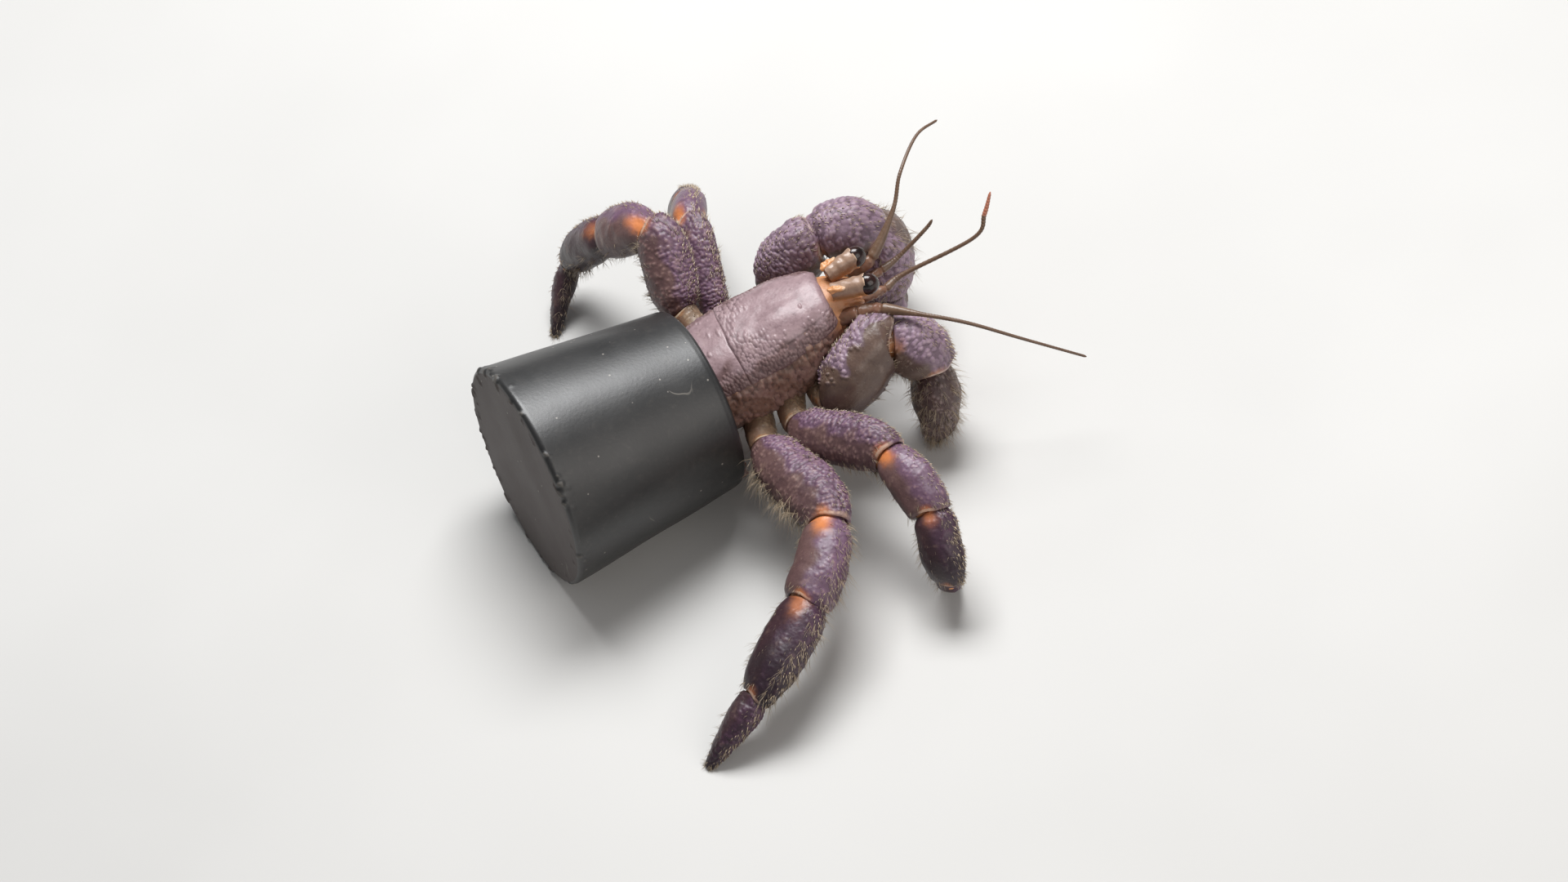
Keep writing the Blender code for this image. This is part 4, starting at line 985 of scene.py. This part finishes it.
def smoothPath(points, radii, rows):
    # a curve through the points whose tangent at each is half the run between its neighbours
    points = np.asarray(points, float)
    padded = np.vstack([2 * points[0] - points[1], points, 2 * points[-1] - points[-2]])
    place = np.linspace(0, len(points) - 1, rows)
    i = np.minimum(place.astype(int), len(points) - 2)
    s = (place - i)[:, None]
    a, b, c, d = (padded[i + k] for k in range(4))
    path = 0.5 * (2 * b + (c - a) * s + (2 * a - 5 * b + 4 * c - d) * s ** 2 + (3 * b - a - 3 * c + d) * s ** 3)
    return path, unit(np.gradient(path, axis=0)), ease(range(len(radii)), radii, place), place


def buildFeeler(points, radii, seed, cols=28, perSegment=46, ringEvery=0.42, ringed=True, tipGlow=0.0, thinner=0.36):
    # a tapering tube: its foot is parted by grooves, its thin part carries fine rings and, where ringed, is drawn in
    # by the share thinner
    rows = int(perSegment * (len(points) - 1) * fine)
    path, along, radius, place = smoothPath(points, radii, rows)
    length = np.concatenate(([0], np.cumsum(np.linalg.norm(np.diff(path, axis=0), axis=1))))
    thin = smooth(2.3, 3.2, place)
    rings = 1 + 0.07 * np.sin(length / ringEvery * 2 * math.pi) * thin * ringed
    joints = 1 - 0.22 * (np.exp(-((place - 1) / 0.05) ** 2) + np.exp(-((place - 2) / 0.05) ** 2)) * (1 - thin)
    close = np.sqrt(np.clip((length[-1] - length) / (1.4 * radius[-1]), 0.02, 1))
    radius = radius * rings * joints * close * (1 - thinner * thin * ringed)
    turns = evenTurns(max(int(cols * fine), 10), 2.0, 1.0)
    grid = loft(path, along, (0.15, 0.1, 1), radius, radius, radius, turns, 2.0)
    foot = (1 - smooth(1.9, 2.4, place))[:, None]
    grid = grid + gridNormals(grid) * (ripple(grid, 0.9, seed) * 0.05 * foot)[..., None]
    glow = 0.35 * foot + tipGlow * smooth(0.80, 0.84, place / place[-1])[:, None] + 0 * turns[None]
    marks = dict(along=np.broadcast_to((place / place[-1])[:, None], grid.shape[:2]), back=0.6,
                 bumps=0.0, grained=0.0, glow=glow, rim=0.0)
    return tubePart(grid, marks)


for number, (name, feeler) in enumerate(feelers.items()):
    wear(joined(f"{name}_skin", [buildFeeler(**feeler, seed=80 + number)]), shells["feeler"], "feeler", name)
for number, (name, limb) in enumerate(smallLimbs.items()):
    piece = joined(f"{name}_skin", [buildFeeler(**limb, seed=90 + number, cols=48, ringed=False)])
    wear(piece, shells["flesh"], "leg_shell", name)
print("feelers ready")

# Bristles: for each kind of plate, how many on the back, over the faces and along the underside
hairs = {
    "base": dict(back=20, face=20, under=30, length=0.9),
    "merus": dict(back=230, face=50, under=110, length=1.15),
    "carpus": dict(back=130, face=25, under=40, length=0.95),
    "propodus": dict(back=190, face=45, under=70, length=1.1),
    "dactyl": dict(back=120, face=60, under=60, length=0.9),
    "armBase": dict(back=20, face=20, under=20, length=0.8),
    "armMerus": dict(back=230, face=20, under=60, length=0.9),
    "armCarpus": dict(back=150, face=60, under=110, length=1.0),
    "palm": dict(back=120, face=150, under=150, length=1.3),
    "finger": dict(back=70, face=70, under=70, length=1.0),
}


# The sorts of bristle on a plate, in the order in which they are planted: which count of the table above and what
# share of it, length against the plate's own (the ridge's spinules have theirs in mm), and how they stand
sorts = {
    "ridge": dict(of="back", share=0.5, length=0.55, radius=0.075, lie=0.55, spread=0.12, tone=0.95, droop=0.0),
    "back": dict(of="back", share=0.6, length=0.75, radius=0.026, lie=0.6, spread=0.22, tone=0.7, tuft=2),
    "face": dict(of="face", share=1.0, length=0.55, radius=0.024, lie=0.8, spread=0.22, tone=0.45),
    "under": dict(of="under", share=1.0, length=1.35, radius=0.026, lie=0.5, spread=0.3, tone=0.6, droop=0.25,
                  tuft=2),
    "tail": dict(of="back", share=0.25, length=0.8, radius=0.026, lie=0.85, spread=0.2, tone=0.75, tuft=2),
}


def coatFor(name, nodes, seed):
    # spinules along the back, short bristles over the faces, long soft hairs in tufts along the underside
    coat, rng = Coat(), np.random.default_rng(seed)
    for cell, node in enumerate(nodes):
        skin = skins[f"{name}_{node}"]
        hair, free, back = hairs[skin["kind"]], skin["free"][:, None], skin["backness"]
        clump = 0.25 + smooth(-0.2, 0.9, ripple(skin["grid"], 2.4, seed + cell))
        where = dict(
            ridge=smooth(0.86, 0.99, back) * free,
            back=smooth(0.55, 0.95, back) * free * clump,
            face=smooth(0.9, 0.3, back) * smooth(-0.9, -0.3, back) * free * clump,
            under=smooth(-0.35, -0.85, back) * free * clump,
            tail=smooth(0.8, 0.95, skin["t"])[:, None] * free,
        )
        for label, sort in sorts.items():
            length = sort["length"] * (1 if label == "ridge" else hair["length"])
            stand = {k: sort[k] for k in ("lie", "spread", "tone", "droop", "tuft") if k in sort}
            plant(coat, skin, hair[sort["of"]] * sort["share"], where[label], length, sort["radius"], rng, **stand,
                  cell=cell)
    return coat, rng


for number, name in enumerate(legs):
    coat, rng = coatFor(name, legNodes, 700 + number)
    if name == "leg3_right":  # a beard of long pale hairs on its rear edge, and a fringe down its front edge
        skin = skins[name + "_merus"]
        t = skin["t"][:, None]
        rear = smooth(-0.2, -0.8, skin["backness"]) * smooth(0.05, 0.2, t) * smooth(0.9, 0.6, t)
        plant(coat, skin, 170, rear, 3.2, 0.028, rng, lie=0.35, spread=0.28, tone=0.95, droop=0.35, tuft=2, cell=1)
        for cell, node in ((2, "carpus"), (3, "propodus")):
            skin = skins[f"{name}_{node}"]
            front = smooth(0.8, 0.97, skin["backness"]) * skin["free"][:, None]
            plant(coat, skin, 90, front, 2.2, 0.026, rng, lie=0.5, spread=0.2, tone=0.9, droop=0.15, tuft=2, cell=cell)
    wear(coat.build(f"{name}_bristles"), bristleFinish, "leg_shell")
for number, name in enumerate(arms):
    coat, rng = coatFor(name, clawNodes, 750 + number)
    skin = skins[name + "_palm"]
    plant(coat, skin, 150, skin["free"][:, None] * smooth(0.75, 0.3, skin["t"])[:, None], 2.0, 0.028, rng, lie=0.55,
          spread=0.3, tone=0.7, droop=0.2, tuft=3, cell=3)
    wear(coat.build(f"{name}_bristles"), bristleFinish, "claw_shell")
print("bristles ready")

# The view: turned as the animal's ground is, from 50 degrees above
focal, sensor, tilt, roll = 136.38, 36.0, math.radians(50), math.radians(16.86)
flatRight, flatUp = Vector((1, 0, 0)), Vector((0, math.sin(tilt), math.cos(tilt)))
camRight = math.cos(roll) * flatRight - math.sin(roll) * flatUp
camUp = math.sin(roll) * flatRight + math.cos(roll) * flatUp
camBack = Vector((0, -math.cos(tilt), math.sin(tilt)))
camera = bpy.data.objects.new("camera", bpy.data.cameras.new("camera"))
camera.data.lens, camera.data.sensor_width = focal, sensor
camera.data.clip_start, camera.data.clip_end = 0.01, 20
camera.matrix_world = Matrix.Translation(Vector((34.906, -518.417, 625.215)) * mm) @ Matrix(
    (camRight, camUp, camBack)).transposed().to_4x4()
bpy.context.scene.collection.objects.link(camera)
bpy.context.scene.camera = camera

# Soft lamps: place, aim and size in metres
lights = {
    "overhead": dict(at=(0.10, 0.20, 0.44), aim=(0.02, 0.0, 0.01), size=(0.32, 0.22), power=3.3,
                     tint=(0.98, 0.99, 1.0)),
    "front": dict(at=(0.30, -0.42, 0.30), aim=(0.04, -0.01, 0.01), size=(0.5, 0.4), power=1.1,
                  tint=(1.0, 0.95, 0.90)),
}
for label, light in lights.items():
    lamp = bpy.data.objects.new(label, bpy.data.lights.new(label, "AREA"))
    lamp.data.shape = "RECTANGLE"
    lamp.data.size, lamp.data.size_y = light["size"]
    lamp.data.energy, lamp.data.color = light["power"], light["tint"]
    at = Vector(light["at"])
    aim = (Vector(light["aim"]) - at).to_track_quat("-Z", "Y")
    lamp.matrix_world = Matrix.Translation(at) @ aim.to_matrix().to_4x4()
    bpy.context.scene.collection.objects.link(lamp)

world = bpy.data.worlds.new("room")
world.use_nodes = True
world.node_tree.nodes["Background"].inputs[0].default_value = (0.86, 0.88, 0.92, 1)
world.node_tree.nodes["Background"].inputs[1].default_value = 0.20
bpy.context.scene.world = world
bpy.context.scene.view_settings.view_transform = "Standard"


def buildFloor():
    # a plain pale square at z = 0
    edge = 4.0
    corners = np.array([(-edge, -edge, 0), (edge, -edge, 0), (edge, edge, 0), (-edge, edge, 0)]) / mm
    floor = newMesh("floor", corners, [np.array([[0, 1, 2, 3]])])
    material, shader, mix, remap, noise, here, link = newMaterial(
        "floorFinish", "mix remap noise here link", {"Roughness": 0.8})
    tone = mix(remap(noise(here(), 6, 4), 0.3, 0.7), (0.60, 0.59, 0.57), (0.66, 0.65, 0.63))
    link(tone, shader["Base Color"])
    floor.data.materials.append(material)


buildFloor()
print("stage ready")
